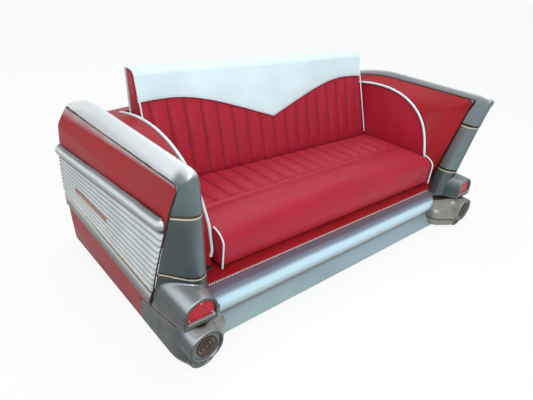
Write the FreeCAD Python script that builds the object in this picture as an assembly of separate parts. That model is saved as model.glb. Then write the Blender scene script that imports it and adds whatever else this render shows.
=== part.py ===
import FreeCAD, Part
import math
import os

# Car tail sofa, in millimetres, +Z up.  The front faces -Y, the origin is the middle of the footprint on
# the floor.  Places along Y are measured back from the foot of the valance unless their name says otherwise,
# and pieces with a left and a right hand are modelled on the right (+X) and mirrored.

# Overall body
BODY_DEPTH = 905.0           # valance foot to the rear edge of the shell
NOSE_REACH = 105.0           # how far the bumper ports stand in front of the valance foot
SKIN = 6.0                   # moulded shell thickness
SHELL_LIFT = 6.0             # lower edge of the shell above the floor
GAP = 0.3                    # clearance between pieces that only lie close
SEAM = 0.8                   # open seam between the silver pieces and the painted panels

# Side surface of the body
SIDE_FOOT_X = 918.0
SIDE_BULGE_X = 940.0
SIDE_BULGE_Z = 390.0
SHOULDER_X = 936.0
SHOULDER_Z = 566.0
SHOULDER_CROWN = 2.5

# Fin top: outer seam, crown and inner seam of the silver strip, and how far each falls and moves in behind
FIN_OUT_X = 922.0
FIN_OUT_Z = 682.0
FIN_CROWN_X = 897.0
FIN_CROWN_Z = 730.0
FIN_IN_X = 868.0
FIN_IN_Z = 703.0
FALL_START = 540.0
FALL_POWER = 1.6             # how late the fin top bends down towards the rear
OUT_FALL_X = 27.0
OUT_FALL_Z = 43.0
CROWN_FALL_X = 38.0
CROWN_FALL_Z = 76.0
IN_FALL_X = 60.0
IN_FALL_Z = 58.0
FALL_STEPS = 8               # sections taken where the fin falls
STRIP_BULGE = 0.16           # fullness of the strip's outer flank, as a share of its height

# Trailing edge of the fin: body seam, front ridge and inner seam
SEAM_TOP_Y = -27.0
SEAM_LEAN = 0.319            # body seam runs back this much for each unit down
RIDGE_TOP_X = 870.0
RIDGE_TOP_Y = -58.0
RIDGE_LEAN_X = 0.132
RIDGE_LEAN_Y = 0.100
RIDGE_ROUND = 13.0
RIDGE_TURN = 0.16            # share of the inner face taken up by the turn behind the ridge
INNER_TOP_X = 862.0
INNER_TOP_Y = 28.0
INNER_LEAN_X = 0.160
INNER_LEAN_Y = 0.155
NOSE_CROWN = 9.0
TIP_SEAM_Z = 575.0
TIP_ROUND_Y = -24.0          # the tip's top is rounded off in front of this place
TIP_ROUND = 38.0
TIP_STEPS = 6
LAMP_SEAM_Z = 322.0

# Lamp housing, hood and lens
HOOD_X = 862.0
HOOD_FRONT_Y = -70.0
HOOD_HALF_WIDTH = 66.0
HOOD_BASE_Z = 184.0
HOOD_SPRING_Z = 226.0
HOOD_WALL = 12.0
HOOD_SILL_Z = 206.0          # foot of the lamp opening, above a thick sill
HOOD_REAR_X = 855.0
HOOD_REAR_Y = 150.0
HOOD_REAR_HALF = 78.0
HOOD_REAR_BASE_Z = 120.0
LENS_SET_BACK = 9.0
LENS_THICK = 4.0
LENS_SCREW_RADIUS = 3.2
LENS_SCREW_HEAD = 2.0
LENS_SCREW_INSET = 11.0

# Seam between lamp housing and bumper end, falling towards the rear
BUMPER_SEAM_Z = 184.0
BUMPER_SEAM_FALL = 0.198

# Bumper end and its ports
END_REAR_Y = 232.0
END_INNER_X = 716.0
END_TAPER = 105.0            # length over which the bumper end narrows to its port
END_STEPS = 8
END_CORNER = 26.0            # rounding of the bumper end's corners behind the ports
PORT_X = 860.0
PORT_Z = 114.0
PORT_RADIUS = 54.0
PORT_WALL = 11.0
PORT_LIP = 16.0
PORT_DEPTH = 24.0
LOWER_PORT_Z = 58.0
LOWER_PORT_RADIUS = 44.0
LOWER_PORT_WALL = 9.0
LOWER_PORT_FRONT_Y = -84.0
LOWER_PORT_DEPTH = 14.0
RING_COUNT = 3

# Bumper bar, valance and deck
FRONT_HALF = HOOD_X - HOOD_HALF_WIDTH - SKIN   # pieces across the front, before their ends are trimmed
BAR_TOP_Y = 28.0
BAR_NOSE_Y = -10.0
BAR_NOSE_Z = 152.0
BAR_FOOT_Y = 47.0
BAR_FOOT_Z = 73.0
BAR_RIGHT_X = 712.0          # right end of the bar; its left end runs into the bumper end
BAR_END_ROUND = 115.0        # length over which the right end is rounded off
BAR_END_STEPS = 6
APRON_HEIGHT = 130.0         # the deck's turned-down edge behind the bar
DECK_Z = 241.0
DECK_FRONT_Y = 32.0
DECK_CUT_X = 640.0           # the deck's right front corner is cut off from here to the trailing edge
TRIM_THICK = 3.0

# Side trim
UPPER_MOULD_FRONT_Y = 38.0
UPPER_MOULD_FRONT_Z = 533.0
UPPER_MOULD_REAR_Z = 457.0
UPPER_MOULD_RADIUS = 27.0
MOULD_SINK = 5.0
LOWER_MOULD_TOP_FRONT_Z = 240.0
LOWER_MOULD_TOP_REAR_Z = 264.0
LOWER_MOULD_FOOT_FRONT_Z = 156.0
LOWER_MOULD_FOOT_REAR_Z = 196.0
LOWER_MOULD_PROUD = 9.0
CREAM_HEIGHT = 9.0
CREAM_PROUD = 6.0
RIB_COUNT = 10
RIB_PLATE = 3.0
RIB_PROUD = 7.0
TRIM_BAR_LENGTH = 300.0
TRIM_BAR_HEIGHT = 16.0
TRIM_BAR_THICK = 3.0
TRIM_BAR_Y = 585.0
TRIM_BAR_RIB = 5             # rib it lies along, counted up from the lowest

# Arm: inner face, top outline (y, z) and piping
ARM_X = 708.0
ARM_BEND_Z = 400.0
ARM_LEAN = 0.136
ARM_THICK = 30.0
ARM_REAR_Z = 640.0
ARM_FOOT_Y = 98.0
ARM_CURVE = ((150.0, 440.0), (205.0, 548.0), (330.0, 640.0), (540.0, 672.0))
SHELF_REAR_Z = 596.0         # edge of the rear shelf at the rear of the body
ARM_INSET = 9.0              # pad edge inside the shell's edge
ARM_STEPS = 24
PIPING_RADIUS = 6.0

# Seat cushion profile
SEAT_SIDE_GAP = 4.0          # seat cushion to the arm's piping
SEAT_FRONT_Y = 68.0
SEAT_TOP_Z = 394.0
SEAT_EDGE_Z = 350.0
SEAT_REAR_Z = 386.0
SEAT_ROLL_Y = 150.0
SEAT_SEAM_Y = 262.0
SEAT_BOARD = 12.0
SEAT_BOARD_INSET = 25.0
SEAT_PIPING_RADIUS = 4.0
SEAT_HALF = ARM_X - 2 * PIPING_RADIUS - SEAT_SIDE_GAP

# Backrest
BACK_SIDE_GAP = 10.0         # backrest to the arm pad
BACK_HALF = ARM_X - BACK_SIDE_GAP
BACK_FRONT_Y = 547.0
BACK_LEAN = 0.346
BACK_BEND_Z = 387.0
BACK_TOP_Z = 816.0
BACK_TOP_DEPTH = 70.6
BACK_REAR_LEAN = 0.165
BACK_ROUND = 26.0
BACK_TURN_IN = 0.12          # middle of the top front rounding, as shares of its size
BACK_TURN_DOWN = 0.36
BACK_FOAM = 42.0
BACK_CHEEK = 26.0
YOKE_THICK = 4.0
YOKE_END_Z = 699.0
YOKE_CREST_X = 520.0
YOKE_CREST_Z = 703.0
YOKE_MID_X = 235.0
YOKE_MID_Z = 641.0
YOKE_POINT_Z = 564.0
COVER_THICK = 8.0
BACK_BOARD = 12.0
UPRIGHT_WIDE = 60.0
UPRIGHT_X = (200.0, 560.0)
SEAT_REAR_Y = BACK_FRONT_Y - YOKE_THICK - 2 * SEAT_PIPING_RADIUS - 2 * GAP
BACK_TOP_REAR_Y = BACK_FRONT_Y + BACK_LEAN * (BACK_TOP_Z - BACK_BEND_Z) + BACK_TOP_DEPTH
BACK_FOOT = DECK_Z + GAP
DECK_REAR_Y = BACK_FRONT_Y + BACK_FOAM - SEAM

# Rear shelf and rear panel
SHELF_RISE = 38.0            # middle of the shelf above its edges
SHELF_GAP = 1.8              # shelf to the back of the backrest
ARM_REAR_Y = BACK_TOP_REAR_Y - BACK_REAR_LEAN * (BACK_TOP_Z - ARM_REAR_Z - SHELF_RISE) + SHELF_GAP
REAR_BOARD = 12.0
REAR_INSET = 5.0
SCREW_HEAD_RADIUS = 6.0
SCREW_HEAD = 3.0
SCREW_SHANK = 2.5
REAR_SCREW_X = (100.0, 300.0, 500.0, 700.0)

# Frame
TIMBER = 45.0
GLIDE_HIGH = 10.0
GLIDE_RADIUS = 22.0
FRAME_FRONT_Y = 245.0
FRAME_REAR_GAP = 43.0        # rear base rail to the rear panel
FRAME_HALF = 880.0
CROSS_X = (320.0, 850.0)
POST_X = 600.0
SEAT_RAIL_REAR_Y = 480.0
SEAT_RAIL_HALF = 690.0
PLATFORM = 18.0
PLATFORM_FRONT_Y = 70.0
FRAME_REAR_Y = BODY_DEPTH - REAR_INSET - REAR_BOARD - FRAME_REAR_GAP - TIMBER

SILL = (NOSE_REACH - BODY_DEPTH) / 2
MIRROR_AXIS = FreeCAD.Vector(1, 0, 0)
CENTRE = FreeCAD.Vector(0, 0, 0)


def spot(x, y, z):
    """Point with y measured back from the foot of the valance."""
    return FreeCAD.Vector(x, SILL + y, z)


def save(name, shape):
    """Write one node."""
    shape.exportStep(os.path.join("parts", name + ".step"))


def save_pair(name, right):
    """Write a right-hand node and its mirrored left hand."""
    save(name + "_right", right)
    save(name + "_left", right.mirror(CENTRE, MIRROR_AXIS))


def both(right):
    """A right-hand shape and its mirror image as one group."""
    return Part.makeCompound([right, right.mirror(CENTRE, MIRROR_AXIS)])


def box(x0, x1, y0, y1, z0, z1):
    """Block between two corners."""
    return Part.makeBox(x1 - x0, y1 - y0, z1 - z0, spot(x0, y0, z0))


def polygon(points):
    """Flat face inside straight edges."""
    return Part.Face(Part.makePolygon(points + points[:1]))


def curve(points):
    """Smooth edge through points."""
    spline = Part.BSplineCurve()
    spline.interpolate(points)
    return spline.toShape()


def arc(start, middle, end):
    """Round edge through three points."""
    return Part.Arc(start, middle, end).toShape()


def line(start, end):
    """Straight edge."""
    return Part.makeLine(start, end)


def face_of(edges):
    """Flat face inside edges given in order."""
    return Part.Face(Part.Wire(edges))


def slab(outline_yz, x0, x1):
    """Outline of (y, z) points stretched from x0 to x1."""
    face = polygon([spot(x0, y, z) for y, z in outline_yz])
    return face.extrude(FreeCAD.Vector(x1 - x0, 0, 0))


def circle_through(first, second, third):
    """Centre and radius of the circle through three flat points."""
    (ax, ay), (bx, by), (cx, cy) = first, second, third
    twice = 2 * (ax * (by - cy) + bx * (cy - ay) + cx * (ay - by))
    a2, b2, c2 = ax * ax + ay * ay, bx * bx + by * by, cx * cx + cy * cy
    ux = (a2 * (by - cy) + b2 * (cy - ay) + c2 * (ay - by)) / twice
    uy = (a2 * (cx - bx) + b2 * (ax - cx) + c2 * (bx - ax)) / twice
    return ux, uy, math.hypot(ax - ux, ay - uy)


SIDE_ARC = circle_through((SIDE_FOOT_X, 0.0), (SIDE_BULGE_X, SIDE_BULGE_Z), (SHOULDER_X, SHOULDER_Z))
UPPER_ARC = circle_through(
    (SHOULDER_X, SHOULDER_Z), ((SHOULDER_X + FIN_OUT_X) / 2 + SHOULDER_CROWN, (SHOULDER_Z + FIN_OUT_Z) / 2),
    (FIN_OUT_X, FIN_OUT_Z))


def side_x(z):
    """Half width of the body at a height, in front of where the fin falls."""
    x, centre_z, radius = SIDE_ARC if z <= SHOULDER_Z else UPPER_ARC
    return x + math.sqrt(radius * radius - (z - centre_z) ** 2)


def fall(y):
    """How far the fin top has fallen away, from 0 in front to 1 at the rear edge."""
    if y <= FALL_START:
        return 0.0
    return ((y - FALL_START) / (BODY_DEPTH - FALL_START)) ** FALL_POWER


def outer_fall(y):
    """How far the outer seam has come down on its straight way to the rear edge, from 0 to 1."""
    return max(0.0, (y - INNER_TOP_Y) / (BODY_DEPTH - INNER_TOP_Y))


def fin_outer(y):
    """Outer seam of the fin strip."""
    return FIN_OUT_X - OUT_FALL_X * outer_fall(y), FIN_OUT_Z - OUT_FALL_Z * outer_fall(y)


def fin_crown(y):
    """Crown of the fin strip."""
    return FIN_CROWN_X - CROWN_FALL_X * fall(y), FIN_CROWN_Z - CROWN_FALL_Z * fall(y)


def fin_inner(y):
    """Inner seam of the fin strip."""
    return FIN_IN_X - IN_FALL_X * fall(y), FIN_IN_Z - IN_FALL_Z * fall(y)


def stations(front):
    """Places along the body at which the shell sections are taken, close together where the fin falls."""
    run = BODY_DEPTH - FALL_START
    return [front, INNER_TOP_Y] + [FALL_START + run * step / FALL_STEPS for step in range(FALL_STEPS + 1)]


def strip_line(y):
    """Crowned top of the fin strip at a station, outer seam to inner seam."""
    (x0, z0), (x1, z1), (x2, z2) = fin_outer(y), fin_crown(y), fin_inner(y)
    flank_x = (x0 + x1) / 2 + (z1 - z0) * STRIP_BULGE
    flank_z = (z0 + z1) / 2 + (x0 - x1) * STRIP_BULGE
    return curve([spot(x0, y, z0 + GAP), spot(flank_x, y, flank_z), spot(x1, y, z1), spot(x2, y, z2 + GAP)])


def seam_y(z):
    """Seam between the side panel and the silver trailing edge."""
    return SEAM_TOP_Y + (FIN_OUT_Z - z) * SEAM_LEAN


def bumper_seam_z(y):
    """Seam between the lamp housing and the bumper end."""
    return BUMPER_SEAM_Z - BUMPER_SEAM_FALL * (y - HOOD_FRONT_Y)


def ridge(z):
    """Front ridge of the fin's trailing edge at a height."""
    drop = FIN_CROWN_Z - z
    return RIDGE_TOP_X - RIDGE_LEAN_X * drop, RIDGE_TOP_Y + RIDGE_LEAN_Y * drop


def inner_edge(z):
    """Rear inner edge of the fin's trailing edge at a height."""
    drop = FIN_IN_Z - z
    return INNER_TOP_X - INNER_LEAN_X * drop, INNER_TOP_Y + INNER_LEAN_Y * drop


def blend(start, end, share):
    """Value that leaves one end and reaches the other without a kink."""
    share = min(1.0, max(0.0, share))
    return start + (end - start) * share * share * (3 - 2 * share)


def side_section(y, inset):
    """Outer edges of the side skin at a station, foot to fin seam, moved in by an inset."""
    seam_x, seam_z = fin_outer(y)
    middle_z = (SIDE_BULGE_Z + SHELL_LIFT) / 2
    upper_x = (SHOULDER_X + seam_x) / 2 + SHOULDER_CROWN
    lower = arc(spot(side_x(SHELL_LIFT) - inset, y, SHELL_LIFT), spot(side_x(middle_z) - inset, y, middle_z),
                spot(SHOULDER_X - inset, y, SHOULDER_Z))
    upper = arc(spot(SHOULDER_X - inset, y, SHOULDER_Z),
                spot(upper_x - inset, y, (SHOULDER_Z + seam_z) / 2), spot(seam_x - inset, y, seam_z))
    return lower, upper


def side_skin(front):
    """Whole side skin from a front station to the rear edge, before its front is trimmed."""
    wires = []
    for y in stations(front):
        low, high = side_section(y, 0.0)
        low_in, high_in = side_section(y, SKIN)
        top = line(high.Vertexes[-1].Point, high_in.Vertexes[-1].Point)
        foot = line(low_in.Vertexes[0].Point, low.Vertexes[0].Point)
        wires.append(Part.Wire([low, high, top, high_in, low_in, foot]))
    return Part.makeLoft(wires, True, True)


def below_bumper_seam(lift):
    """Everything under the seam between lamp housing and bumper end, raised or lowered a little."""
    ends = (-2 * NOSE_REACH, END_REAR_Y + SEAM)
    outline = [(y, bumper_seam_z(y) + lift) for y in ends] + [(ends[1], -BODY_DEPTH), (ends[0], -BODY_DEPTH)]
    return slab(outline, 0.0, 2 * SIDE_BULGE_X)


def quarter_panel():
    """Outer side skin with its front edge on the body seam and round the bumper end."""
    ends = (FIN_CROWN_Z, 0.0)
    outline = [(seam_y(z) + SEAM, z) for z in ends] + [(BODY_DEPTH + SKIN, z) for z in reversed(ends)]
    skin = side_skin(SEAM_TOP_Y - NOSE_REACH).common(slab(outline, 0.0, 2 * SIDE_BULGE_X))
    return skin.cut(below_bumper_seam(SEAM / 2))


def nose_wire(z):
    """Level section of the fin's trailing edge, with a rebate for the side panel behind its outer seam."""
    outer_x, outer_y = side_x(min(z, FIN_OUT_Z)) + max(0.0, z - FIN_OUT_Z), seam_y(z)
    ridge_x, ridge_y = ridge(z)
    inner_x, inner_y = inner_edge(z)
    slope = math.atan2(ridge_y - outer_y, ridge_x - outer_x)
    crown_x, crown_y = -math.sin(slope) * NOSE_CROWN, math.cos(slope) * NOSE_CROWN
    middle = spot((outer_x + ridge_x) / 2 + crown_x, (outer_y + ridge_y) / 2 + crown_y, z)
    before = spot(ridge_x - math.cos(slope) * RIDGE_ROUND, ridge_y - math.sin(slope) * RIDGE_ROUND, z)
    after = spot(ridge_x + (inner_x - ridge_x) * RIDGE_TURN, ridge_y + RIDGE_ROUND, z)
    outer, inner = spot(outer_x, outer_y, z), spot(inner_x, inner_y, z)
    rebate = spot(outer_x - SKIN - GAP, outer_y, z)
    front = curve([outer, middle, before, after, inner])
    return Part.Wire([front, line(inner, rebate), line(rebate, outer)])


def nose_block(z0, z1):
    """Trailing edge of the fin between two heights, with a section where the strip's outer seam lies."""
    heights = sorted({z0, (z0 + z1) / 2, min(max(FIN_OUT_Z, z0), z1), z1})
    return Part.makeLoft([nose_wire(z) for z in heights], True, True)


def largest(shape):
    """Biggest solid that a cut leaves."""
    return max(shape.Solids, key=lambda solid: solid.Volume)


def fin_strip():
    """Crowned silver strip along the fin top, from the fin tip to the rear edge."""
    wires = []
    for y in stations(RIDGE_TOP_Y):
        top = strip_line(y)
        outer, inner = [end.Point for end in top.Vertexes]
        wires.append(Part.Wire([top, line(inner, outer)]))
    tip_room = nose_block(TIP_SEAM_Z + SEAM / 2, FIN_CROWN_Z + SKIN)
    tip_room.translate(FreeCAD.Vector(0, SEAM, 0))
    return largest(Part.makeLoft(wires, True, True).cut(tip_room))


def tip_section(y, drop):
    """Outline under the tip's crowned top at a station, with the top lowered by a drop."""
    foot = TIP_SEAM_Z + SEAM / 2
    top = strip_line(RIDGE_TOP_Y)
    top.translate(FreeCAD.Vector(0, y - RIDGE_TOP_Y, -drop))
    outer, inner = [end.Point for end in top.Vertexes]
    wide, narrow = spot(SIDE_BULGE_X + SKIN, y, foot), spot(inner_edge(foot)[0] - SKIN, y, foot)
    return Part.Wire([top, line(inner, narrow), line(narrow, wide), line(wide, outer)])


def fin_tip():
    """Silver block at the top of the trailing edge, crowned like the strip and rounded off in front."""
    sections = []
    for step in range(TIP_STEPS, -1, -1):
        turn = math.pi / 2 * step / TIP_STEPS
        place_y, drop = TIP_ROUND_Y - TIP_ROUND * math.sin(turn), TIP_ROUND * (1 - math.cos(turn))
        sections.append(tip_section(place_y, drop))
    sections.append(tip_section(END_REAR_Y, 0.0))
    block = nose_block(TIP_SEAM_Z + SEAM / 2, FIN_CROWN_Z + SKIN)
    return largest(block.common(Part.makeLoft(sections, True, True)))


def fin_bezel():
    """Silver middle piece of the trailing edge."""
    return nose_block(LAMP_SEAM_Z + SEAM / 2, TIP_SEAM_Z - SEAM / 2)


def d_wire(x, y, half, base):
    """D-shaped outline with its round side up."""
    left, right = spot(x - half, y, HOOD_SPRING_Z), spot(x + half, y, HOOD_SPRING_Z)
    top = spot(x, y, HOOD_SPRING_Z + half)
    low_left, low_right = spot(x - half, y, base), spot(x + half, y, base)
    return Part.Wire([arc(left, top, right), line(right, low_right), line(low_right, low_left),
                      line(low_left, left)])


def lens_block(y0, y1, gap):
    """D-shaped block in the lamp opening between two stations, smaller all round by a gap."""
    rim = d_wire(HOOD_X, y0, HOOD_HALF_WIDTH - HOOD_WALL - gap, HOOD_SILL_Z + gap)
    return Part.Face(rim).extrude(FreeCAD.Vector(0, y1 - y0, 0))


def tail_room(z0, z1):
    """Space just in front of the plane that closes the trailing edge behind, between two heights."""
    wires = []
    for z in (z0, z1):
        inner_x, inner_y = inner_edge(z)
        corners = [spot(inner_x, inner_y - SEAM, z), spot(side_x(z), seam_y(z) - SEAM, z),
                   spot(side_x(z), -2 * NOSE_REACH, z), spot(inner_x - HOOD_HALF_WIDTH, -2 * NOSE_REACH, z)]
        wires.append(Part.makePolygon(corners + corners[:1]))
    return Part.makeLoft(wires, True, True)


def lamp_housing():
    """Silver tail lamp housing: the trailing edge carried down into a hood with a D-shaped opening."""
    top_z, low_z = LAMP_SEAM_Z - SEAM / 2, HOOD_REAR_BASE_Z
    rims = [d_wire(HOOD_X, HOOD_FRONT_Y, HOOD_HALF_WIDTH, HOOD_BASE_Z),
            d_wire(HOOD_REAR_X, HOOD_REAR_Y, HOOD_REAR_HALF, HOOD_REAR_BASE_Z)]
    hood = Part.makeLoft(rims, True, True).common(tail_room(low_z - SKIN, top_z))
    opening = lens_block(HOOD_FRONT_Y - SKIN, HOOD_FRONT_Y + LENS_SET_BACK + LENS_THICK, 0.0)
    body = nose_block(low_z, top_z).fuse(hood).cut(below_bumper_seam(SEAM / 2))
    return largest(body.cut(opening).removeSplitter())


def lens_screw_spots():
    """Middles of the three lens screws as (x, z)."""
    half = HOOD_HALF_WIDTH - HOOD_WALL - LENS_SCREW_INSET
    low = HOOD_SILL_Z + LENS_SCREW_INSET
    high = HOOD_SPRING_Z + HOOD_HALF_WIDTH - HOOD_WALL - LENS_SCREW_INSET
    return (HOOD_X - half, low), (HOOD_X + half, low), (HOOD_X, high)


def along_y(x, y, z, radius, length):
    """Round bar running back from a point."""
    return Part.makeCylinder(radius, length, spot(x, y, z), FreeCAD.Vector(0, 1, 0))


def lamp_lens():
    """Flat red D-shaped plate seated in the hood, drilled for its screws."""
    seat_y = HOOD_FRONT_Y + LENS_SET_BACK
    plate = lens_block(seat_y, seat_y + LENS_THICK, GAP)
    for x, z in lens_screw_spots():
        plate = plate.cut(along_y(x, seat_y - GAP, z, LENS_SCREW_RADIUS / 2 + GAP, LENS_THICK + 2 * GAP))
    return plate


def lens_screws():
    """Three round-headed screws that hold one lens."""
    seat_y = HOOD_FRONT_Y + LENS_SET_BACK
    screws = []
    for x, z in lens_screw_spots():
        head = along_y(x, seat_y - LENS_SCREW_HEAD, z, LENS_SCREW_RADIUS, LENS_SCREW_HEAD)
        screws.append(head.fuse(along_y(x, seat_y, z, LENS_SCREW_RADIUS / 2, LENS_THICK)))
    return Part.makeCompound(screws)


def rounded_wire(x, y, z, half_wide, half_high, corner):
    """Closed outline across the body: a rectangle with round corners."""
    wide, high = half_wide - corner, half_high - corner
    arcs = []
    for number, (across, up) in enumerate(((wide, high), (-wide, high), (-wide, -high), (wide, -high))):
        turns = [math.pi / 2 * (number + part) for part in (0.0, 0.5, 1.0)]
        arcs.append(arc(*[spot(x + across + corner * math.cos(turn), y, z + up + corner * math.sin(turn))
                          for turn in turns]))
    edges = []
    for number, bend in enumerate(arcs):
        follow = arcs[(number + 1) % len(arcs)]
        edges += [bend, line(bend.Vertexes[-1].Point, follow.Vertexes[0].Point)]
    return Part.Wire(edges)


def bumper_end_body():
    """Bullet over a lower lip, running forward from the side panel to the ports."""
    outer = side_x(PORT_Z)
    middle, half = (outer + END_INNER_X) / 2, (outer - END_INNER_X) / 2
    nose, low = PORT_RADIUS + PORT_WALL, LOWER_PORT_RADIUS + LOWER_PORT_WALL
    low_high = LOWER_PORT_Z - SHELL_LIFT
    front_y = -NOSE_REACH + PORT_LIP
    bullet = [rounded_wire(PORT_X, -NOSE_REACH, PORT_Z, nose, nose, nose - GAP)]
    lip = []
    for step in range(END_STEPS + 1):
        share = step / END_STEPS
        shift = END_TAPER * share
        late, early = share ** 2, math.sin(math.pi / 2 * share)
        bullet.append(rounded_wire(blend(PORT_X, middle, late), front_y + shift, PORT_Z,
                                   blend(nose, half, late), blend(nose, PORT_Z - SHELL_LIFT, late),
                                   blend(nose - GAP, END_CORNER, late)))
        lip.append(rounded_wire(blend(PORT_X, middle, early), LOWER_PORT_FRONT_Y + shift, LOWER_PORT_Z,
                                blend(low, half - GAP, early), low_high,
                                blend(low_high - GAP, END_CORNER, share)))
    bullet.append(rounded_wire(middle, END_REAR_Y, PORT_Z, half, PORT_Z - SHELL_LIFT, END_CORNER))
    return Part.makeLoft(bullet, True, True).fuse(Part.makeLoft(lip, True, True))


def lower_port(radius, depth):
    """Half-round space of the lower port under the upper one."""
    hole = along_y(PORT_X, LOWER_PORT_FRONT_Y - SKIN, LOWER_PORT_Z, radius, depth + SKIN)
    shade = along_y(PORT_X, -2 * NOSE_REACH, PORT_Z, PORT_RADIUS + PORT_WALL + GAP, 2 * BODY_DEPTH)
    return hole.cut(shade)


def bumper_end():
    """Silver bumper end with its two ports, under the lamp housing."""
    seam_top = below_bumper_seam(-SEAM / 2)
    port = along_y(PORT_X, -NOSE_REACH - SKIN, PORT_Z, PORT_RADIUS, PORT_DEPTH + SKIN)
    return bumper_end_body().common(seam_top).cut(port).cut(lower_port(LOWER_PORT_RADIUS, LOWER_PORT_DEPTH))


def port_insert():
    """Dark round insert with raised rings in the upper port."""
    back_y = -NOSE_REACH + PORT_DEPTH
    radius = PORT_RADIUS - GAP
    pitch = radius / (RING_COUNT + 1)
    insert = along_y(PORT_X, back_y - PORT_LIP, PORT_Z, radius, PORT_LIP)
    for ring in range(1, RING_COUNT + 1):
        outside = along_y(PORT_X, back_y - PORT_LIP - SKIN, PORT_Z, ring * pitch, SKIN)
        inside = along_y(PORT_X, back_y - PORT_LIP - SKIN, PORT_Z, ring * pitch - pitch / 2, SKIN)
        insert = insert.fuse(outside.cut(inside))
    return insert.removeSplitter()


def lower_port_insert():
    """Dark insert at the bottom of the lower port."""
    depth = LOWER_PORT_DEPTH - SKIN
    return lower_port(LOWER_PORT_RADIUS - GAP, LOWER_PORT_DEPTH).cut(lower_port(LOWER_PORT_RADIUS, depth))


def between_ends(piece):
    """Largest part of a piece across the front that the bumper ends and lamp housings leave."""
    for solid in (bumper_end(), lamp_housing()):
        room = solid.copy()
        room.translate(FreeCAD.Vector(-SEAM, 0, 0))
        piece = piece.cut(room).cut(room.mirror(CENTRE, MIRROR_AXIS))
    return largest(piece)


def bar_wire(x, share):
    """Section of the bar's moulded skin at a place across the front, a share of its full size."""
    middle_y, middle_z = (BAR_TOP_Y + BAR_FOOT_Y) / 2, BAR_NOSE_Z
    profile = [(BAR_TOP_Y, DECK_Z - SKIN), (BAR_NOSE_Y, BAR_NOSE_Z), (BAR_FOOT_Y, BAR_FOOT_Z)]
    points = [(blend(middle_y, y, share), blend(middle_z, z, share)) for y, z in profile]
    outer = arc(*[spot(x, y, z) for y, z in points])
    inner = arc(*[spot(x, y + SKIN, z) for y, z in points])
    ends = [line(outer.Vertexes[end].Point, inner.Vertexes[end].Point) for end in (0, -1)]
    return Part.Wire([outer, ends[1], inner, ends[0]])


def bumper_bar():
    """Large bar across the front, a moulded skin that is rounded off at its right end."""
    sections = [bar_wire(-FRONT_HALF, 1.0)]
    for step in range(BAR_END_STEPS, 0, -1):
        turn = math.pi / 2 * step / BAR_END_STEPS
        sections.append(bar_wire(BAR_RIGHT_X - BAR_END_ROUND * (1 - math.cos(turn)), math.sin(turn)))
    return between_ends(Part.makeLoft(sections, True, True))


def valance():
    """Flat sloping panel from the floor to the bar."""
    top_z = BAR_FOOT_Z - GAP
    outline = [(0.0, SHELL_LIFT), (BAR_FOOT_Y, top_z), (BAR_FOOT_Y + SKIN, top_z), (SKIN, SHELL_LIFT)]
    return between_ends(slab(outline, -FRONT_HALF, FRONT_HALF))


def deck_plate(back, z0, z1):
    """Block over the deck's outline, which has a cut right front corner, moved back by a little."""
    outline = [(DECK_CUT_X, DECK_FRONT_Y), (FRONT_HALF, inner_edge(DECK_Z)[1]), (FRONT_HALF, DECK_REAR_Y),
               (-FRONT_HALF, DECK_REAR_Y), (-FRONT_HALF, DECK_FRONT_Y)]
    return polygon([spot(x, y + back, z0) for x, y in outline]).extrude(FreeCAD.Vector(0, 0, z1 - z0))


def front_deck():
    """Red ledge in front of and under the seat, with an apron behind the bar."""
    foot = DECK_Z - APRON_HEIGHT
    apron = deck_plate(SKIN, foot, DECK_Z - SKIN).cut(deck_plate(2 * SKIN, foot, DECK_Z - SKIN))
    ledge = deck_plate(0.0, DECK_Z - SKIN, DECK_Z)
    return between_ends(ledge.fuse(apron).removeSplitter())


def deck_trim():
    """Thin bright strip on the deck's front edge."""
    strip = box(-FRONT_HALF, DECK_CUT_X, DECK_FRONT_Y - TRIM_THICK, DECK_FRONT_Y, DECK_Z - SKIN, DECK_Z)
    return between_ends(strip)


def side_shell(inset, proud):
    """Thick layer on the side surface, from an inset inside it to a proud distance outside."""
    top, foot = SHOULDER_Z, SHELL_LIFT
    middle = (top + foot) / 2
    ends = [[spot(side_x(z) + shift, 0.0, z) for z in (foot, middle, top)] for shift in (-inset, proud)]
    (in_foot, in_mid, in_top), (out_foot, out_mid, out_top) = ends
    face = face_of([arc(out_foot, out_mid, out_top), line(out_top, in_top), arc(in_top, in_mid, in_foot),
                    line(in_foot, out_foot)])
    return face.extrude(FreeCAD.Vector(0, BODY_DEPTH, 0))


def upper_mould_z(y):
    """Middle of the upper moulding along the side."""
    share = (y - UPPER_MOULD_FRONT_Y) / (BODY_DEPTH - UPPER_MOULD_FRONT_Y)
    return UPPER_MOULD_FRONT_Z + (UPPER_MOULD_REAR_Z - UPPER_MOULD_FRONT_Z) * share


def behind_seam():
    """Everything behind the seam of the silver trailing edge, seen from the side."""
    ends = (FIN_OUT_Z, 0.0)
    return slab([(seam_y(z) + SEAM, z) for z in ends] + [(BODY_DEPTH, z) for z in reversed(ends)],
                0.0, 2 * SIDE_BULGE_X)


def upper_moulding():
    """Half-round moulding along the side, rounded off at its front end."""
    front_y = UPPER_MOULD_FRONT_Y + UPPER_MOULD_RADIUS / 2
    heights = [(y, upper_mould_z(y)) for y in (front_y, BODY_DEPTH)]
    start, end = [spot(side_x(z) - MOULD_SINK, y, z) for y, z in heights]
    bar = Part.makeCylinder(UPPER_MOULD_RADIUS, (end - start).Length, start, end - start)
    bar = bar.fuse(Part.makeSphere(UPPER_MOULD_RADIUS, start))
    return bar.common(side_shell(0.0, UPPER_MOULD_RADIUS)).common(behind_seam()).removeSplitter()


def between(front_z, rear_z, y):
    """Height at a station of a trim line that runs from the seam to the rear edge."""
    front_y = seam_y(front_z)
    return front_z + (rear_z - front_z) * (y - front_y) / (BODY_DEPTH - front_y)


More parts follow.
